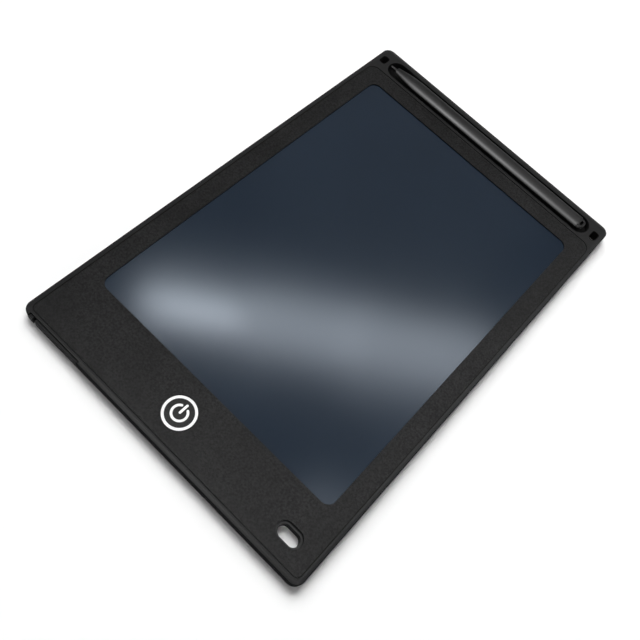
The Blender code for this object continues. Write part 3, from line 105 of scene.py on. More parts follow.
# Divisions of the round forms
KEY_SEGMENTS = 128
ARC_SEGMENTS = 64
ARC_END_SEGMENTS = 12
BAR_SEGMENTS = 32
NIB_SEGMENTS = 48
FLOOR_SEGMENTS = 96
EDGE_STEPS = 6
NOSE_STEPS = 40
POINT_STEPS = 8
BEND_STEPS = 12
TAIL_LOOP_STEPS = 3

# Pattern of the moulded plastics
MOULD_GRAIN = 3500.0
MOULD_RELIEF = 0.000012
MOULD_CLOUDS = 45.0
ROUGHNESS_SPREAD = 0.04
SPECKLE_SCALE = 0.7

# Range in which most values of a noise pattern lie
PATTERN_LOW = 0.3
PATTERN_HIGH = 0.7

# Colours without a setting of their own
WHITE = (1.0, 1.0, 1.0, 1.0)
BLACK = (0.0, 0.0, 0.0, 1.0)
FILM_SHEEN = (0.80, 0.89, 1.0, 1.0)
TAPE_WHITE = (0.5, 0.5, 0.49, 1.0)
FOAM_WHITE = (0.7, 0.7, 0.68, 1.0)
BACKING_BLACK = (0.008, 0.008, 0.008, 1.0)
RUBBER_BLACK = (0.02, 0.02, 0.02, 1.0)
LOCK_BLACK = (0.02, 0.02, 0.02, 1.0)
EPOXY_BLACK = (0.015, 0.015, 0.015, 1.0)
PLUNGER_WHITE = (0.6, 0.6, 0.58, 1.0)
CERAMIC_TAN = (0.38, 0.25, 0.14, 1.0)
STEEL = (0.62, 0.62, 0.61, 1.0)
NICKEL = (0.70, 0.68, 0.62, 1.0)
COPPER = (0.70, 0.33, 0.18, 1.0)
TIN = (0.62, 0.58, 0.48, 1.0)
WIRE_GAP = (0.02, 0.02, 0.02, 1.0)
WIRE_LACQUER = (0.09, 0.05, 0.03, 1.0)

# Camera of the photograph: place, axes as the columns of its turn, sensor and range
CAMERA_PLACE = (0.0524, -0.1548, 0.2598)
CAMERA_RIGHT = (0.7210, 0.6635, 0.1999)
CAMERA_UP = (-0.6758, 0.6093, 0.4148)
CAMERA_BACK = (0.1534, -0.4342, 0.8877)
SENSOR_WIDTH = 36.0
CLIP_START = 0.01
CLIP_END = 20.0

# Studio
FLOOR_LEVEL = -0.00004
SUN_DIRECTION = (-0.64, 0.64, 1.0)
ALONG_BAND = (0.809, 0.588, 0.0)


class Softbox(NamedTuple):
    """Rectangular lamp that hangs at a place and faces a target, with its long side along a direction.

    One that is gloss_only shows in reflections without lighting matte surfaces, spread is the angle of its
    beam, and pieces names the only pieces that it lights, or none where it lights all.
    """

    name: str
    place: tuple
    target: tuple
    length: float
    width: float
    radiance: float
    along: tuple = (1.0, 0.0, 0.0)
    gloss_only: bool = False
    spread: float = HALF_TURN
    pieces: tuple = ()


SOFTBOXES = (
    # Name, place, target, length, width and radiance of the boxes that the screen reflects
    Softbox("band_left", (-0.2230, 0.1450, 0.6031), (-0.032, -0.065, 0.004), 0.135, 0.036, 21.5, ALONG_BAND),
    Softbox("band_middle", (-0.1030, 0.2360, 0.6031), (0.006, -0.038, 0.004), 0.160, 0.075, 8.3, ALONG_BAND),
    Softbox("band_right", (0.0350, 0.3360, 0.6031), (0.045, -0.012, 0.004), 0.180, 0.070, 5.0, ALONG_BAND),
    Softbox("band_halo", (0.0350, 0.3420, 0.6300), (0.045, -0.012, 0.004), 0.200, 0.130, 2.2, ALONG_BAND),
    Softbox("corner", (0.1000, 0.0600, 0.6031), (0.062, -0.086, 0.004), 0.100, 0.090, 2.0, gloss_only=True),
    Softbox("haze", (-0.2600, 0.6200, 0.6500), (-0.040, 0.060, 0.004), 0.600, 0.420, 0.13),
    # The boxes for the lip, for the stylus and for the floor that shows through the lanyard slot
    Softbox(
        "near_edge", (-0.0450, -0.1860, 0.3300), (0.000, -0.112, 0.005), 0.240, 0.150, 13.5, gloss_only=True,
    ),
    Softbox(
        "right_edge", (0.3300, 0.2500, 0.6100), (0.072, -0.020, 0.005), 0.250, 0.600, 11.0, gloss_only=True,
    ),
    Softbox(
        "front", (-0.1000, -0.8000, 0.0720), (0.000, 0.100, 0.005), 0.600, 0.140, 235.0, gloss_only=True,
        pieces=("stylus_barrel_turned", "stylus_nib", "stylus_tail_loop"),
    ),
    Softbox(
        "slot", (0.0578, -0.1273, 0.0537), (0.0578, -0.1005, 0.000), 0.012, 0.014, 0.15,
        spread=math.radians(10), pieces=("floor",),
    ),
)


class KeySettings(PropertyGroup):
    """Sizes of the erase key and its printed symbol."""

    edge_radius: FloatProperty(
        name="Edge radius", description="Rounding of the key's top edge",
        default=0.00022, unit="LENGTH", subtype="DISTANCE", precision=5,
    )
    ring_diameter: FloatProperty(
        name="Ring diameter", description="Outer diameter of the printed ring",
        default=0.01375, unit="LENGTH", subtype="DISTANCE", precision=5,
    )
    ring_line: FloatProperty(
        name="Ring line", description="Line width of the printed ring",
        default=0.0011, unit="LENGTH", subtype="DISTANCE", precision=5,
    )
    arc_diameter: FloatProperty(
        name="Arc diameter", description="Outer diameter of the open arc of the symbol",
        default=0.00725, unit="LENGTH", subtype="DISTANCE", precision=5,
    )
    symbol_line: FloatProperty(
        name="Symbol line", description="Line width of the arc and of the bar",
        default=0.001, unit="LENGTH", subtype="DISTANCE", precision=5,
    )
    arc_gap: FloatProperty(
        name="Arc gap", description="Angle of the opening at the top of the arc",
        default=math.radians(62), unit="ROTATION", subtype="ANGLE",
    )
    bar_length: FloatProperty(
        name="Bar length", description="Length of the bar, round ends included",
        default=0.0047, unit="LENGTH", subtype="DISTANCE", precision=5,
    )
    bar_centre: FloatProperty(
        name="Bar centre", description="Distance of the bar's middle above the key's centre",
        default=0.0021, unit="LENGTH", subtype="DISTANCE", precision=5,
    )
    ink_thickness: FloatProperty(
        name="Ink thickness", description="Height of the printed ink over the key",
        default=0.00003, unit="LENGTH", subtype="DISTANCE", precision=6,
    )


class StylusSettings(PropertyGroup):
    """Sizes of the stylus."""

    barrel_radius: FloatProperty(
        name="Barrel radius", description="Radius of the barrel",
        default=(BARREL_HIGH.z - BARREL_LOW.z) / 2, unit="LENGTH", subtype="DISTANCE", precision=5,
    )
    nose_length: FloatProperty(
        name="Nose length", description="Length of the tapered nose",
        default=0.0152, unit="LENGTH", subtype="DISTANCE", precision=5,
    )
    nose_end_radius: FloatProperty(
        name="Nose end radius", description="Radius where the nose meets the nib",
        default=0.0014, unit="LENGTH", subtype="DISTANCE", precision=5,
    )
    nib_radius: FloatProperty(
        name="Nib radius", description="Radius of the nib",
        default=0.00045, unit="LENGTH", subtype="DISTANCE", precision=5,
    )
    edge_radius: FloatProperty(
        name="Edge radius", description="Rounding of the barrel's tail edge",
        default=0.00025, unit="LENGTH", subtype="DISTANCE", precision=5,
    )
    segments: IntProperty(
        name="Segments", description="Divisions round the barrel", default=96, min=12,
    )


class FinishSettings(PropertyGroup):
    """Colours of the tablet's visible finishes."""

    case_colour: FloatVectorProperty(
        name="Case", description="Colour of the moulded case", subtype="COLOR", size=4,
        default=(0.0170, 0.0170, 0.0172, 1.0), min=0.0, max=1.0,
    )
    overlay_colour: FloatVectorProperty(
        name="Overlay", description="Colour of the matte sheet round the screen", subtype="COLOR", size=4,
        default=(0.0145, 0.0145, 0.0147, 1.0), min=0.0, max=1.0,
    )
    stylus_colour: FloatVectorProperty(
        name="Stylus", description="Colour of the stylus", subtype="COLOR", size=4,
        default=(0.0065, 0.0065, 0.0067, 1.0), min=0.0, max=1.0,
    )
    screen_colour: FloatVectorProperty(
        name="Screen", description="Colour of the writing film", subtype="COLOR", size=4,
        default=(0.0090, 0.0160, 0.0280, 1.0), min=0.0, max=1.0,
    )
    ink_colour: FloatVectorProperty(
        name="Ink", description="Colour of the printed symbol", subtype="COLOR", size=4,
        default=(0.90, 0.90, 0.90, 1.0), min=0.0, max=1.0,
    )


class StageSettings(PropertyGroup):
    """Light and floor of the studio."""

    sweep_radius: FloatProperty(
        name="Sweep radius", description="Radius of the round floor, out to its upright rim",
        default=3.2, unit="LENGTH", subtype="DISTANCE",
    )
    sweep_height: FloatProperty(
        name="Sweep height", description="Height of the rim that stands behind the object from every side",
        default=1.25, unit="LENGTH", subtype="DISTANCE",
    )
    world_level: FloatProperty(
        name="World level", description="Strength of the even light from all round", default=0.14, min=0.0,
    )
    sun_level: FloatProperty(
        name="Sun level", description="Strength of the soft light that casts the shadow",
        default=2.80, min=0.0,
    )
    sun_softness: FloatProperty(
        name="Sun softness", description="Angular size of that light",
        default=math.radians(50), unit="ROTATION", subtype="ANGLE",
    )
    lens: FloatProperty(
        name="Lens", description="Focal length of the camera in millimetres", default=38.907, min=1.0,
    )


class TabletSettings(PropertyGroup):
    """All settings of the tablet."""

    key: PointerProperty(type=KeySettings)
    stylus: PointerProperty(type=StylusSettings)
    finish: PointerProperty(type=FinishSettings)
    stage: PointerProperty(type=StageSettings)


# Shader nodes


def feed(tree, node, inputs):
    """Link a node's inputs to the sockets given for them, and set those given as plain values."""
    for key, value in inputs.items():
        if isinstance(value, bpy.types.NodeSocket):
            tree.links.new(value, node.inputs[key])
        else:
            node.inputs[key].default_value = value


def add_node(tree, kind, inputs, **options):
    """New node of a kind, with its options and then its inputs."""
    node = tree.nodes.new(kind)
    for option, value in options.items():
        setattr(node, option, value)
    feed(tree, node, inputs)
    return node


def calculated(tree, operation, *values, clamp=False):
    """Result of a math node on sockets or plain numbers."""
    inputs = dict(enumerate(values))
    return add_node(tree, "ShaderNodeMath", inputs, operation=operation, use_clamp=clamp).outputs["Value"]


def sides_of(tree, vector):
    """The X, Y and Z of a vector."""
    return add_node(tree, "ShaderNodeSeparateXYZ", {"Vector": vector}).outputs


def length_of(tree, vector):
    """Length of a vector."""
    return add_node(tree, "ShaderNodeVectorMath", {0: vector}, operation="LENGTH").outputs["Value"]


def noise(tree, coordinates, scale, detail=3.0, stretch=None):
    """Noise of a scale per metre, stretched along an axis where asked."""
    if stretch:
        mapping = add_node(tree, "ShaderNodeMapping", {"Vector": coordinates, "Scale": stretch})
        coordinates = mapping.outputs["Vector"]
    inputs = {"Vector": coordinates, "Scale": scale, "Detail": detail}
    return add_node(tree, "ShaderNodeTexNoise", inputs).outputs["Fac"]


def cells(tree, coordinates, scale):
    """Distance from the middles of scattered cells."""
    return add_node(tree, "ShaderNodeTexVoronoi", {"Vector": coordinates, "Scale": scale}).outputs["Distance"]


def remap(tree, value, low, high, start=PATTERN_LOW, end=PATTERN_HIGH):
    """Value between start and end, spread from low to high."""
    inputs = {"Value": value, "From Min": start, "From Max": end, "To Min": low, "To Max": high}
    return add_node(tree, "ShaderNodeMapRange", inputs).outputs["Result"]


def shaded(colour, factor):
    """Colour made darker or lighter by a factor."""
    return tuple(min(part * factor, 1.0) for part in colour[:3]) + (1.0,)


def tinted(tree, value, dark, light):
    """Colour that runs from dark to light with a value."""
    ramp = add_node(tree, "ShaderNodeValToRGB", {"Fac": value})
    stops = ((PATTERN_LOW, dark), (PATTERN_HIGH, light))
    for element, (position, colour) in zip(ramp.color_ramp.elements, stops):
        element.position = position
        element.color = colour
    return ramp.outputs["Color"]


def clouded(tree, value, colour, spread):
    """Colour that varies by a share of itself with a value."""
    return tinted(tree, value, shaded(colour, 1 - spread), shaded(colour, 1 + spread))


def mixed(tree, factor, first, second, blend_type="MIX"):
    """First colour, with the second mixed in by a factor."""
    inputs = {"Factor": factor, "A": first, "B": second}
    node = add_node(tree, "ShaderNodeMix", inputs, data_type="RGBA", blend_type=blend_type)
    return node.outputs["Result"]


def relief(tree, height, distance, strength=1.0, over=None):
    """Normal of a height pattern, laid over another normal where asked."""
    inputs = {"Height": height, "Distance": distance, "Strength": strength}
    if over is not None:
        inputs["Normal"] = over
    return add_node(tree, "ShaderNodeBump", inputs).outputs["Normal"]


# Materials


def new_tree(name):
    """Fresh material, with its node tree, its Principled shader and its object coordinates."""
    material = bpy.data.materials.new(name)
    material.use_nodes = True
    tree = material.node_tree
    shader = tree.nodes["Principled BSDF"]
    coordinates = tree.nodes.new("ShaderNodeTexCoord").outputs["Object"]
    return material, tree, shader, coordinates


def moulded_plastic(
    name, colour, roughness, grain=MOULD_GRAIN, bump=MOULD_RELIEF, spread=0.16, specular=0.5, speckle=0.0,
):
    """Moulded plastic with a fine spark-eroded grain and faint clouding from handling."""
    material, tree, shader, coordinates = new_tree(name)
    fine = noise(tree, coordinates, grain, detail=2.0)
    cloud = noise(tree, coordinates, MOULD_CLOUDS, detail=4.0)
    colours = clouded(tree, cloud, colour, spread)
    if speckle:
        grains = noise(tree, coordinates, grain * SPECKLE_SCALE, detail=1.0)
        greys = tinted(tree, grains, shaded(WHITE, 1 - speckle), WHITE)
        colours = mixed(tree, 1.0, colours, greys, blend_type="MULTIPLY")
    feed(tree, shader, {
        "Base Color": colours,
        "Roughness": remap(tree, cloud, roughness - ROUGHNESS_SPREAD, roughness + ROUGHNESS_SPREAD),
        "Specular IOR Level": specular,
        "Normal": relief(tree, fine, bump),
    })
    return material


def crowned_lip(tree, coordinates):
    """Height of the case's soft crown, from nought outside the nearest outer edge to one inside it."""
    sides = sides_of(tree, coordinates)
    nearest = calculated(tree, "MINIMUM", *(
        calculated(tree, "SUBTRACT", reach, calculated(tree, "ABSOLUTE", sides[axis]))
        for axis, reach in (("X", SHELL_HIGH.x), ("Y", SHELL_HIGH.y))
    ))
    inputs = {"Value": nearest, "From Min": CROWN_START, "From Max": CROWN_END}
    crown = add_node(tree, "ShaderNodeMapRange", inputs, interpolation_type="SMOOTHERSTEP")
    return crown.outputs["Result"]


def painted_slot_light_mask(tree, coordinates):
    """Mask of the painted light on the lanyard slot: one at its walls and on its ledge, and nought from the
    ledge's outer edge on.
    """
    inputs = {0: coordinates, 1: (SLOT_X, SLOT_Y, 0)}
    offset = add_node(tree, "ShaderNodeVectorMath", inputs, operation="SUBTRACT").outputs["Vector"]
    sides = sides_of(tree, offset)
    size = calculated(tree, "ABSOLUTE", sides["X"])
    beyond = calculated(tree, "SUBTRACT", size, SLOT_STRAIGHT / 2, clamp=True)
    plan = add_node(tree, "ShaderNodeCombineXYZ", {"X": beyond, "Y": sides["Y"]}).outputs["Vector"]
    distance = length_of(tree, plan)
    return remap(tree, distance, low=1.0, high=0.0, start=SLOT_LEDGE - SLOT_LEDGE_FADE, end=SLOT_LEDGE)


def case_finish(name, colour, roughness, specular, painted_side_shade, painted_slot_light):
    """Satin moulding with a fine grain and a crowned lip, and matte sides darkened with painted shade, with
    painted light on the lanyard slot's walls and ledge.
    """
    material, tree, shader, coordinates = new_tree(name)
    fine = noise(tree, coordinates, MOULD_GRAIN, detail=2.0)
    cloud = noise(tree, coordinates, MOULD_CLOUDS, detail=4.0)
    level = sides_of(tree, coordinates)["Z"]
    top = remap(
        tree, level, low=0.0, high=1.0, start=SHELL_HIGH.z - LIP_FADE_START, end=SHELL_HIGH.z - LIP_FADE_END,
    )
    # Painted shade darkens the sides, and painted light lightens the slot's walls and ledge
    sides = tinted(tree, painted_slot_light_mask(tree, coordinates), shaded(colour, painted_side_shade), shaded(colour, painted_slot_light))
    lip = clouded(tree, cloud, colour, spread=0.14)
    crown = relief(tree, crowned_lip(tree, coordinates), CROWN_HEIGHT)
    feed(tree, shader, {
        "Base Color": mixed(tree, top, sides, lip),
        "Roughness": remap(tree, top, low=1.0, high=roughness, start=0.0, end=1.0),
        "Specular IOR Level": specular,
        "Normal": relief(tree, fine, MOULD_RELIEF, over=crown),
    })
    return material


def rolled_metal(name, colour, roughness, stretch, bump=0.0000006):
    """Sheet or turned metal with fine drawn lines along one axis and faint tarnish."""
    material, tree, shader, coordinates = new_tree(name)
    lines = noise(tree, coordinates, scale=260.0, stretch=stretch)
    tarnish = noise(tree, coordinates, scale=90.0)
    feed(tree, shader, {
        "Base Color": tinted(tree, tarnish, dark=shaded(colour, 0.92), light=shaded(colour, 1.04)),
        "Roughness": remap(tree, lines, low=roughness - 0.02, high=roughness + 0.03),
        "Metallic": 1.0,
        "Normal": relief(tree, lines, bump),
    })
    return material


def writing_film_finish(name, colour):
    """Glossy dark film: blue-black, with a cool sheen and the soft unevenness of a laminate."""
    material, tree, shader, coordinates = new_tree(name)
    cloud = noise(tree, coordinates, scale=14.0, detail=2.0)
    waves = noise(tree, coordinates, scale=22.0, detail=1.0)
    feed(tree, shader, {
        "Base Color": clouded(tree, cloud, colour, spread=0.07),
        "Roughness": remap(tree, cloud, low=0.160, high=0.180),
        "Specular IOR Level": 0.5,
        "Specular Tint": FILM_SHEEN,
        "Normal": relief(tree, waves, distance=0.00002),
    })
    return material


def printed_ink(name, colour):
    """Screen-printed ink: opaque, with a faint mesh texture and slightly uneven cover."""
    material, tree, shader, coordinates = new_tree(name)
    cover = noise(tree, coordinates, scale=1400.0)
    feed(tree, shader, {
        "Base Color": tinted(tree, cover, dark=shaded(colour, 0.96), light=shaded(colour, 1.02)),
        "Roughness": remap(tree, cover, low=0.45, high=0.6),
        "Normal": relief(tree, cover, distance=0.000004),
    })
    return material


def foam_finish(name, colour, cell_scale):
    """Closed-cell foam: rounded cells with darker walls."""
    material, tree, shader, coordinates = new_tree(name)
    distance = cells(tree, coordinates, cell_scale)
    feed(tree, shader, {
        "Base Color": tinted(tree, distance, colour, shaded(colour, 0.78)),
        "Roughness": 0.9,
        "Normal": relief(tree, distance, distance=0.0001, strength=0.6),
    })
    return material


def board_finish(name):
    """Circuit board: green solder mask over paler copper tracks and round pads."""
    material, tree, shader, coordinates = new_tree(name)
    tracks = add_node(tree, "ShaderNodeTexBrick", {
        "Vector": coordinates,
        "Scale": 330.0,
        "Mortar Size": 0.09,
        "Color1": (0.008, 0.085, 0.035, 1.0),
        "Color2": (0.009, 0.095, 0.040, 1.0),
        "Mortar": (0.020, 0.170, 0.080, 1.0),
    })
    pads = remap(tree, cells(tree, coordinates, scale=260.0), low=1.0, high=0.0, start=0.10, end=0.14)
    feed(tree, shader, {
        "Base Color": mixed(tree, pads, tracks.outputs["Color"], TIN),
        "Metallic": pads,
        "Roughness": 0.35,
        "Normal": relief(tree, tracks.outputs["Fac"], distance=0.00002),
    })
    return material


def coil_finish(name):
    """Wound coil: fine turns of lacquered wire with dark gaps between them."""
    material, tree, shader, coordinates = new_tree(name)
    inputs = {"Vector": coordinates, "Scale": 1500.0, "Distortion": 0.4}
    turns = add_node(tree, "ShaderNodeTexWave", inputs, bands_direction="Z").outputs["Fac"]
    feed(tree, shader, {
        "Base Color": tinted(tree, turns, WIRE_GAP, WIRE_LACQUER),
        "Roughness": 0.4,
        "Normal": relief(tree, turns, distance=0.00003),
    })
    return material


def seen_rays(tree):
    """One for the rays that show a background: straight from the camera, or by way of gloss or glass."""
    path = tree.nodes.new("ShaderNodeLightPath")
    total = path.outputs["Is Camera Ray"]
    for kind in ("Is Glossy Ray", "Is Transmission Ray"):
        total = calculated(tree, "ADD", total, path.outputs[kind], clamp=True)
    return total


def floor_finish(name, fade_start, fade_end):
    """White sweep of the studio, barely uneven, that shows plain white beyond a distance from the object."""
    material, tree, shader, coordinates = new_tree(name)
    cloud = noise(tree, coordinates, scale=6.0, detail=2.0)
    near = tinted(tree, cloud, shaded(WHITE, 0.985), WHITE)
    far = remap(tree, length_of(tree, coordinates), low=0.0, high=1.0, start=fade_start, end=fade_end)
    shown = calculated(tree, "MULTIPLY", far, seen_rays(tree))
    feed(tree, shader, {
        "Base Color": mixed(tree, shown, near, BLACK),
        "Emission Color": WHITE,
        "Emission Strength": shown,
        "Roughness": 1.0,
        "Specular IOR Level": 0.0,
    })
    return material


def dress(node, material):
    """Give a CAD node its finished material."""
    slots = NODES[node].data.materials
    slots.clear()
    slots.append(material)


# Meshes and objects


def in_scene(name, data):
    """Object of a mesh, a lamp or a camera, linked to the scene."""
    item = bpy.data.objects.new(name, data)
    bpy.context.scene.collection.objects.link(item)
    return item


def smooth_mesh(name, bm, material):
    """Smooth mesh of a bmesh, with its normals outward and one material."""
    bmesh.ops.recalc_face_normals(bm, faces=bm.faces)
    mesh = bpy.data.meshes.new(name)
    bm.to_mesh(mesh)
    bm.free()
    mesh.shade_smooth()
    mesh.materials.append(material)
    return mesh


def finished(name, bm, material, body):
    """Piece made of a bmesh that is already in place, riding on a body."""
    bmesh.ops.remove_doubles(bm, verts=bm.verts, dist=MERGE_DISTANCE)
    mesh = smooth_mesh(name, bm, material)
    mesh.set_sharp_from_angle(angle=SMOOTH_ANGLE)
    item = in_scene(name, mesh)
    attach(item, body)
    return item


def turned(points, centre, axis, segments):
    """Chain of points spun a full turn about an axis through a centre."""
    bm = bmesh.new()
    verts = [bm.verts.new(point) for point in points]
    edges = [bm.edges.new(pair) for pair in zip(verts, verts[1:])]
    bmesh.ops.spin(
        bm, geom=verts + edges, cent=centre, axis=axis, dvec=(0, 0, 0),
        angle=FULL_TURN, steps=segments, use_merge=True,
    )
    return bm


def turned_about_z(profile, centre, segments):
    """Profile of (radius, height) points spun about an upright axis through a centre."""
    points = [(centre[0] + radius, centre[1], height) for radius, height in profile]
    return turned(points, (centre[0], centre[1], 0), (0, 0, 1), segments)


def turned_about_x(profile, centre, segments):
    """Profile of (x, radius) points spun about a level axis through a centre."""
    points = [(x, centre[1], centre[2] + radius) for x, radius in profile]
    return turned(points, (0, centre[1], centre[2]), (1, 0, 0), segments)


def rounded(radius, steps):
    """Distances of a quarter circle's points from the two sides of its corner."""
    angles = [QUARTER_TURN * step / steps for step in range(steps + 1)]
    return [(radius * (1 - math.cos(angle)), radius * (1 - math.sin(angle))) for angle in angles]


def raised(bm, height):
    """Give flat faces a thickness upwards."""
    grown = bmesh.ops.extrude_face_region(bm, geom=list(bm.faces))
    lifted = [item for item in grown["geom"] if isinstance(item, bmesh.types.BMVert)]
    bmesh.ops.translate(bm, verts=lifted, vec=(0, 0, height))


def softened_copy(name, node, width, segments, material, body):
    """Copy of a CAD node with its edges rounded, which then stands for the node."""
    bm = bmesh.new()
    bm.from_mesh(NODES[node].data)
    bmesh.ops.remove_doubles(bm, verts=bm.verts, dist=MERGE_DISTANCE)
    bmesh.ops.dissolve_limit(bm, angle_limit=FLAT_ANGLE, verts=bm.verts, edges=bm.edges)
    sharp = [edge for edge in bm.edges if edge.is_manifold and edge.calc_face_angle() > SMOOTH_ANGLE]
    bmesh.ops.bevel(
        bm, geom=sharp, offset=width, offset_type="OFFSET", segments=segments, profile=0.5,
        affect="EDGES", clamp_overlap=True, material=-1,
    )
    item = finished(name, bm, material, body)
    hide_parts(node)


def axes_matrix(place, right, up, back):
    """Matrix of a lamp or a camera at a place, from its own three axes."""
    turn = Matrix((right, up, back)).transposed()
    return Matrix.Translation(place) @ turn.to_4x4()


# Operators


class TABLET_OT_dress_case(Operator):
    """Give the two shells and the overlay their moulded finishes"""

    bl_idname = "tablet.dress_case"
    bl_label = "Case"

    def execute(self, context):
        finish = context.scene.tablet.finish
        # The front shell's sides get painted shade, and its slot's walls and ledge painted light
        dress("front_shell", case_finish(
            "front_shell_satin", finish.case_colour,
            roughness=0.38, specular=0.055, painted_side_shade=0.4, painted_slot_light=2.3,
        ))
        dress("back_shell", moulded_plastic(
            "back_shell_matte", shaded(finish.case_colour, 0.6),
            roughness=0.7, grain=2600.0, bump=0.00002, specular=0.05,
        ))
        dress("overlay_panel", moulded_plastic(
            "overlay_matte", finish.overlay_colour,
            roughness=0.48, grain=1900.0, bump=0.00012, spread=0.25, specular=0.085, speckle=0.7,
        ))
        return {"FINISHED"}


class TABLET_OT_dress_screen(Operator):
    """Give the writing film and the sheets under it their finishes"""

    bl_idname = "tablet.dress_screen"
    bl_label = "Screen"

    def execute(self, context):
        colour = context.scene.tablet.finish.screen_colour
        dress("writing_film", writing_film_finish("writing_film_gloss", colour))
        dress("rear_film", writing_film_finish("rear_film_gloss", shaded(colour, 2.5)))
        dress("film_tape", foam_finish("tape_foam", TAPE_WHITE, cell_scale=3000.0))
        dress("black_backing", moulded_plastic("backing_black", BACKING_BLACK, roughness=0.8, grain=1200.0))
        dress("support_board", foam_finish("support_foam", FOAM_WHITE, cell_scale=1400.0))
        return {"FINISHED"}


class TABLET_OT_add_erase_key(Operator):
    """Add the round erase key with its printed symbol"""

    bl_idname = "tablet.add_erase_key"
    bl_label = "Erase key"

    def execute(self, context):
        settings = context.scene.tablet
        centre = (KEY_LOW + KEY_HIGH) / 2
        self.add_cap(settings, centre)
        ink = printed_ink("symbol_ink", settings.finish.ink_colour)
        self.add_ring(settings.key, centre, ink)
        self.add_arc(settings.key, centre, ink)
        self.add_bar(settings.key, centre, ink)
        dress("tact_plunger", moulded_plastic("plunger_plastic", PLUNGER_WHITE, roughness=0.45))
        return {"FINISHED"}

    def add_cap(self, settings, centre):
        """Key cap with a rounded top edge, a retaining flange and a hollow underside."""
        low, top = KEY_LOW.z, KEY_HIGH.z
        flange = KEY_HIGH.x - centre.x
        flange_top = low + KEY_FLANGE_HEIGHT
        radius = flange - KEY_FLANGE_WIDTH
        skirt = radius - KEY_WALL
        ceiling = top - KEY_ROOF
        profile = [
            (0, low), (KEY_HUB_RADIUS, low), (KEY_HUB_RADIUS, ceiling), (skirt, ceiling), (skirt, low),
            (flange, low), (flange, flange_top), (radius, flange_top),
        ]
        corner = rounded(settings.key.edge_radius, EDGE_STEPS)
        profile += [(radius - across, top - down) for across, down in corner]
        profile.append((0, top))
        matte = moulded_plastic(
            "key_matte", settings.finish.overlay_colour,
            roughness=0.48, grain=2400.0, bump=0.00006, spread=0.2, specular=0.12, speckle=0.5,
        )
        bm = turned_about_z(profile, centre, KEY_SEGMENTS)
        cap = finished("erase_key_cap", bm, matte, "key")
        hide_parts("erase_key")

    def add_ring(self, key, centre, ink):
        """Printed ring round the key."""
        outer = key.ring_diameter / 2
        profile = [(outer - key.ring_line, KEY_HIGH.z), (outer, KEY_HIGH.z)]
        bm = turned_about_z(profile, centre, KEY_SEGMENTS)
        raised(bm, key.ink_thickness)
        finished("erase_key_ring", bm, ink, "key")

    def add_arc(self, key, centre, ink):
        """Open arc of the power symbol, with round ends."""
        bm = bmesh.new()
        outer = key.arc_diameter / 2
        middle = outer - key.symbol_line / 2
        start = QUARTER_TURN + key.arc_gap / 2
        sweep = FULL_TURN - key.arc_gap
        ends = []
        for radius in (outer - key.symbol_line, outer):
            place = (centre.x + radius * math.cos(start), centre.y + radius * math.sin(start), KEY_HIGH.z)
            ends.append(bm.verts.new(place))
        edge = bm.edges.new(ends)
        bmesh.ops.spin(
            bm, geom=ends + [edge], cent=(centre.x, centre.y, 0), axis=(0, 0, 1), dvec=(0, 0, 0),
            angle=sweep, steps=ARC_SEGMENTS, use_merge=False,
        )
        for angle, turn in ((start, HALF_TURN), (start + sweep, -HALF_TURN)):
            pivot = (centre.x + middle * math.cos(angle), centre.y + middle * math.sin(angle), KEY_HIGH.z)
            self.round_end(bm, pivot, angle, key.symbol_line / 2, turn)
        bmesh.ops.remove_doubles(bm, verts=bm.verts, dist=MERGE_DISTANCE)
        bmesh.ops.recalc_face_normals(bm, faces=bm.faces)
        raised(bm, key.ink_thickness)
        finished("erase_key_arc", bm, ink, "key")

    def round_end(self, bm, pivot, angle, radius, turn):
        """Half disc on one end of the arc."""
        inner = (pivot[0] - radius * math.cos(angle), pivot[1] - radius * math.sin(angle), pivot[2])
        rim = bm.verts.new(inner)
        spun = bmesh.ops.spin(
            bm, geom=[rim], cent=pivot, axis=(0, 0, 1), dvec=(0, 0, 0),
            angle=turn, steps=ARC_END_SEGMENTS, use_merge=False,
        )
        chain = [edge for edge in bm.edges if not edge.link_faces]
        last = [item for item in spun["geom_last"] if isinstance(item, bmesh.types.BMVert)][0]
        closing = bm.edges.new((rim, last))
        bmesh.ops.contextual_create(bm, geom=chain + [closing])

    def add_bar(self, key, centre, ink):
        """Upright bar of the power symbol, with round ends."""
        bm = bmesh.new()
        radius = key.symbol_line / 2
        middle = Vector((centre.x, centre.y + key.bar_centre, KEY_HIGH.z))
        bmesh.ops.create_circle(
            bm, cap_ends=True, radius=radius, segments=BAR_SEGMENTS, matrix=Matrix.Translation(middle),
        )
        reach = key.bar_length / 2 - radius
        for side in (-1, 1):
            half = [vert for vert in bm.verts if side * (vert.co.y - middle.y) > MERGE_DISTANCE]
            bmesh.ops.translate(bm, verts=half, vec=(0, side * reach, 0))
        raised(bm, key.ink_thickness)
        finished("erase_key_bar", bm, ink, "key")


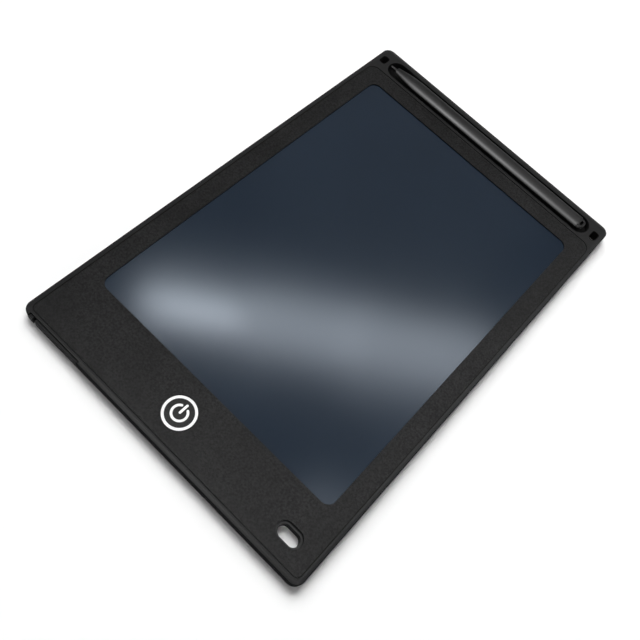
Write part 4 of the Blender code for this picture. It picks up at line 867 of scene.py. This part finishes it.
class TABLET_OT_add_stylus(Operator):
    """Add the stylus: its barrel, its nib and its tail with the cord loop"""

    bl_idname = "tablet.add_stylus"
    bl_label = "Stylus"

    def execute(self, context):
        settings = context.scene.tablet
        satin = moulded_plastic(
            "stylus_satin", settings.finish.stylus_colour,
            roughness=0.57, grain=5200.0, bump=0.000006, spread=0.1, specular=0.155,
        )
        centre = (BARREL_LOW + BARREL_HIGH) / 2
        self.add_barrel(settings.stylus, centre, satin)
        self.add_nib(settings.stylus, centre, satin)
        softened_copy(
            "stylus_tail_loop", "stylus_tail_cap", TAIL_LOOP_ROUNDING, TAIL_LOOP_STEPS, satin, "stylus",
        )
        return {"FINISHED"}

    def add_barrel(self, stylus, centre, satin):
        """Barrel with an ogive nose, a rounded tail edge and a blind bore at each end."""
        nose, tail = BARREL_LOW.x, BARREL_HIGH.x
        radius = stylus.barrel_radius
        nib_bore_end = nose + NIB_BORE_DEPTH
        tail_bore_end = tail - TAIL_BORE_DEPTH
        profile = [(nib_bore_end, 0), (nib_bore_end, NIB_BORE_RADIUS), (nose, NIB_BORE_RADIUS)]
        for step in range(NOSE_STEPS + 1):
            share = step / NOSE_STEPS
            swell = math.sin(share * QUARTER_TURN)
            reach = stylus.nose_end_radius + (radius - stylus.nose_end_radius) * swell
            profile.append((nose + share * stylus.nose_length, reach))
        profile += [(tail - along, radius - down) for down, along in rounded(stylus.edge_radius, EDGE_STEPS)]
        profile += [(tail, TAIL_BORE_RADIUS), (tail_bore_end, TAIL_BORE_RADIUS), (tail_bore_end, 0)]
        bm = turned_about_x(profile, centre, stylus.segments)
        barrel = finished("stylus_barrel_turned", bm, satin, "stylus")
        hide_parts("stylus_barrel")

    def add_nib(self, stylus, centre, satin):
        """Nib: thin pin with a round point, and its root in the barrel."""
        point, root = TIP_LOW.x, TIP_HIGH.x
        shoulder = BARREL_LOW.x
        radius = stylus.nib_radius
        profile = [(point + along, radius - down) for along, down in rounded(radius, POINT_STEPS)]
        profile += [
            (shoulder - NIB_FLARE, radius), (shoulder, NIB_ROOT_RADIUS), (root, NIB_ROOT_RADIUS), (root, 0),
        ]
        bm = turned_about_x(profile, centre, NIB_SEGMENTS)
        nib = finished("stylus_nib", bm, satin, "stylus")
        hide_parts("stylus_tip")


class TABLET_OT_dress_drawer(Operator):
    """Finish the battery drawer and the coin cell in it"""

    bl_idname = "tablet.dress_drawer"
    bl_label = "Battery drawer"

    def execute(self, context):
        colour = context.scene.tablet.finish.case_colour
        dress("battery_drawer", moulded_plastic(
            "drawer_satin", shaded(colour, 0.75), roughness=0.65, specular=0.08,
        ))
        dress("cell_can", rolled_metal("cell_can_steel", STEEL, roughness=0.36, stretch=(1.0, 12.0, 1.0)))
        dress("cell_cap", rolled_metal("cell_cap_steel", STEEL, roughness=0.38, stretch=(12.0, 1.0, 1.0)))
        dress("cell_gasket", moulded_plastic("gasket_rubber", RUBBER_BLACK, roughness=0.7, grain=900.0))
        return {"FINISHED"}


class TABLET_OT_dress_electronics(Operator):
    """Finish the circuit board, what stands on it, and the battery contacts"""

    bl_idname = "tablet.dress_electronics"
    bl_label = "Electronics"

    def execute(self, context):
        dress("circuit_board", board_finish("board_mask"))
        strip = rolled_metal("contact_nickel", NICKEL, roughness=0.26, stretch=(14.0, 1.0, 1.0))
        for node in ("negative_contact", "positive_contact", "lock_switch"):
            dress(node, strip)
        copper = rolled_metal("lead_copper", COPPER, roughness=0.36, stretch=(1.0, 10.0, 1.0), bump=0.00001)
        screw = rolled_metal("screw_zinc", NICKEL, roughness=0.3, stretch=(1.0, 1.0, 9.0))
        ceramic = moulded_plastic("capacitor_ceramic", CERAMIC_TAN, roughness=0.5, grain=2200.0)
        for side in ("left", "right"):
            dress(f"film_lead_{side}", copper)
            dress(f"board_screw_{side}", screw)
            dress(f"capacitor_{side}", ceramic)
        epoxy = moulded_plastic("chip_epoxy", EPOXY_BLACK, roughness=0.55, grain=4200.0, bump=0.00002)
        dress("driver_chip", epoxy)
        dress("tact_switch", epoxy)
        dress("boost_coil", coil_finish("coil_ferrite"))
        return {"FINISHED"}


class TABLET_OT_dress_lock(Operator):
    """Finish the erase lock's slider on the back"""

    bl_idname = "tablet.dress_lock"
    bl_label = "Erase lock"

    def execute(self, context):
        dress("lock_slider", moulded_plastic("lock_plastic", LOCK_BLACK, roughness=0.4, grain=3000.0))
        return {"FINISHED"}


class TABLET_OT_set_stage(Operator):
    """Set the floor, the lights, the world and the camera"""

    bl_idname = "tablet.set_stage"
    bl_label = "Stage"

    def execute(self, context):
        stage = context.scene.tablet.stage
        self.lay_floor(stage)
        self.light_world(context, stage)
        self.hang_sun(stage)
        self.hang_softboxes()
        self.place_camera(context, stage)
        context.scene.view_settings.view_transform = "Standard"
        return {"FINISHED"}

    def lay_floor(self, stage):
        """White sweep: a round floor just under the tablet, which curves up into a rim all round."""
        radius = stage.sweep_radius
        bend = stage.sweep_height / 2
        profile = [(0, FLOOR_LEVEL), (radius / 4, FLOOR_LEVEL)]
        profile += [(radius - across, FLOOR_LEVEL + up) for up, across in rounded(bend, BEND_STEPS)]
        profile.append((radius, stage.sweep_height))
        bm = turned_about_z(profile, (0, 0), FLOOR_SEGMENTS)
        white = floor_finish("floor_white", fade_start=radius / 6, fade_end=radius / 3)
        floor = in_scene("floor", smooth_mesh("floor", bm, white))

    def light_world(self, context, stage):
        """Even light from all round."""
        world = bpy.data.worlds.new("studio_world")
        world.use_nodes = True
        background = world.node_tree.nodes["Background"]
        background.inputs["Color"].default_value = WHITE
        background.inputs["Strength"].default_value = stage.world_level
        context.scene.world = world

    def hang_sun(self, stage):
        """Soft light from behind the top of the picture, for the shadow along the near edges."""
        lamp = bpy.data.lights.new("shadow_sun", "SUN")
        lamp.energy = stage.sun_level
        lamp.angle = stage.sun_softness
        sun = in_scene("shadow_sun", lamp)
        sun.rotation_mode = "QUATERNION"
        sun.rotation_quaternion = Vector(SUN_DIRECTION).to_track_quat("Z", "Y")
        sun.visible_glossy = False

    def hang_softboxes(self):
        """Softboxes for the reflections on the screen, the lip and the stylus, and for the slot's floor."""
        for box in SOFTBOXES:
            lamp = bpy.data.lights.new(box.name, "AREA")
            lamp.shape = "RECTANGLE"
            lamp.size = box.length
            lamp.size_y = box.width
            lamp.spread = box.spread
            lamp.energy = box.radiance * math.pi * box.length * box.width
            back = (Vector(box.place) - Vector(box.target)).normalized()
            along = Vector(box.along)
            side = (along - along.dot(back) * back).normalized()
            item = in_scene(box.name, lamp)
            item.matrix_world = axes_matrix(box.place, side, back.cross(side), back)
            item.visible_diffuse = not box.gloss_only
            if box.pieces:
                self.keep_for(item, box.pieces)

    def keep_for(self, item, pieces):
        """Let this softbox light these pieces only, as flags around a real one would."""
        lit = bpy.data.collections.new("lit_by_" + item.name)
        for piece in pieces:
            lit.objects.link(bpy.data.objects[piece])
        item.light_linking.receiver_collection = lit

    def place_camera(self, context, stage):
        """Camera at the photograph's place and turn."""
        data = bpy.data.cameras.new("camera")
        data.lens = stage.lens
        data.sensor_width = SENSOR_WIDTH
        data.clip_start = CLIP_START
        data.clip_end = CLIP_END
        camera = in_scene("camera", data)
        camera.matrix_world = axes_matrix(CAMERA_PLACE, CAMERA_RIGHT, CAMERA_UP, CAMERA_BACK)
        context.scene.camera = camera


OPERATORS = (
    TABLET_OT_dress_case,
    TABLET_OT_dress_screen,
    TABLET_OT_add_erase_key,
    TABLET_OT_add_stylus,
    TABLET_OT_dress_drawer,
    TABLET_OT_dress_electronics,
    TABLET_OT_dress_lock,
    TABLET_OT_set_stage,
)


class TABLET_PT_sidebar(Panel):
    """Steps that build the tablet, and their settings"""

    bl_label = "LCD Writing Tablet"
    bl_idname = "TABLET_PT_sidebar"
    bl_space_type = "VIEW_3D"
    bl_region_type = "UI"
    bl_category = "Tablet"

    def draw(self, context):
        for operator in OPERATORS:
            self.layout.operator(operator.bl_idname)
        settings = context.scene.tablet
        for group in (settings.key, settings.stylus, settings.finish, settings.stage):
            box = self.layout.box()
            for name in type(group).__annotations__:
                box.prop(group, name)


SETTINGS = (KeySettings, StylusSettings, FinishSettings, StageSettings, TabletSettings)
CLASSES = SETTINGS + OPERATORS + (TABLET_PT_sidebar,)


def register():
    """Register the settings, the operators and the panel."""
    for cls in CLASSES:
        bpy.utils.register_class(cls)
    bpy.types.Scene.tablet = PointerProperty(type=TabletSettings)


def unregister():
    """Take the settings, the operators and the panel away again."""
    del bpy.types.Scene.tablet
    for cls in reversed(CLASSES):
        bpy.utils.unregister_class(cls)


def main():
    """Build everything in order."""
    register()
    bpy.ops.tablet.dress_case()
    bpy.ops.tablet.dress_screen()
    bpy.ops.tablet.add_erase_key()
    bpy.ops.tablet.add_stylus()
    bpy.ops.tablet.dress_drawer()
    bpy.ops.tablet.dress_electronics()
    bpy.ops.tablet.dress_lock()
    bpy.ops.tablet.set_stage()


if __name__ == "__main__":
    main()
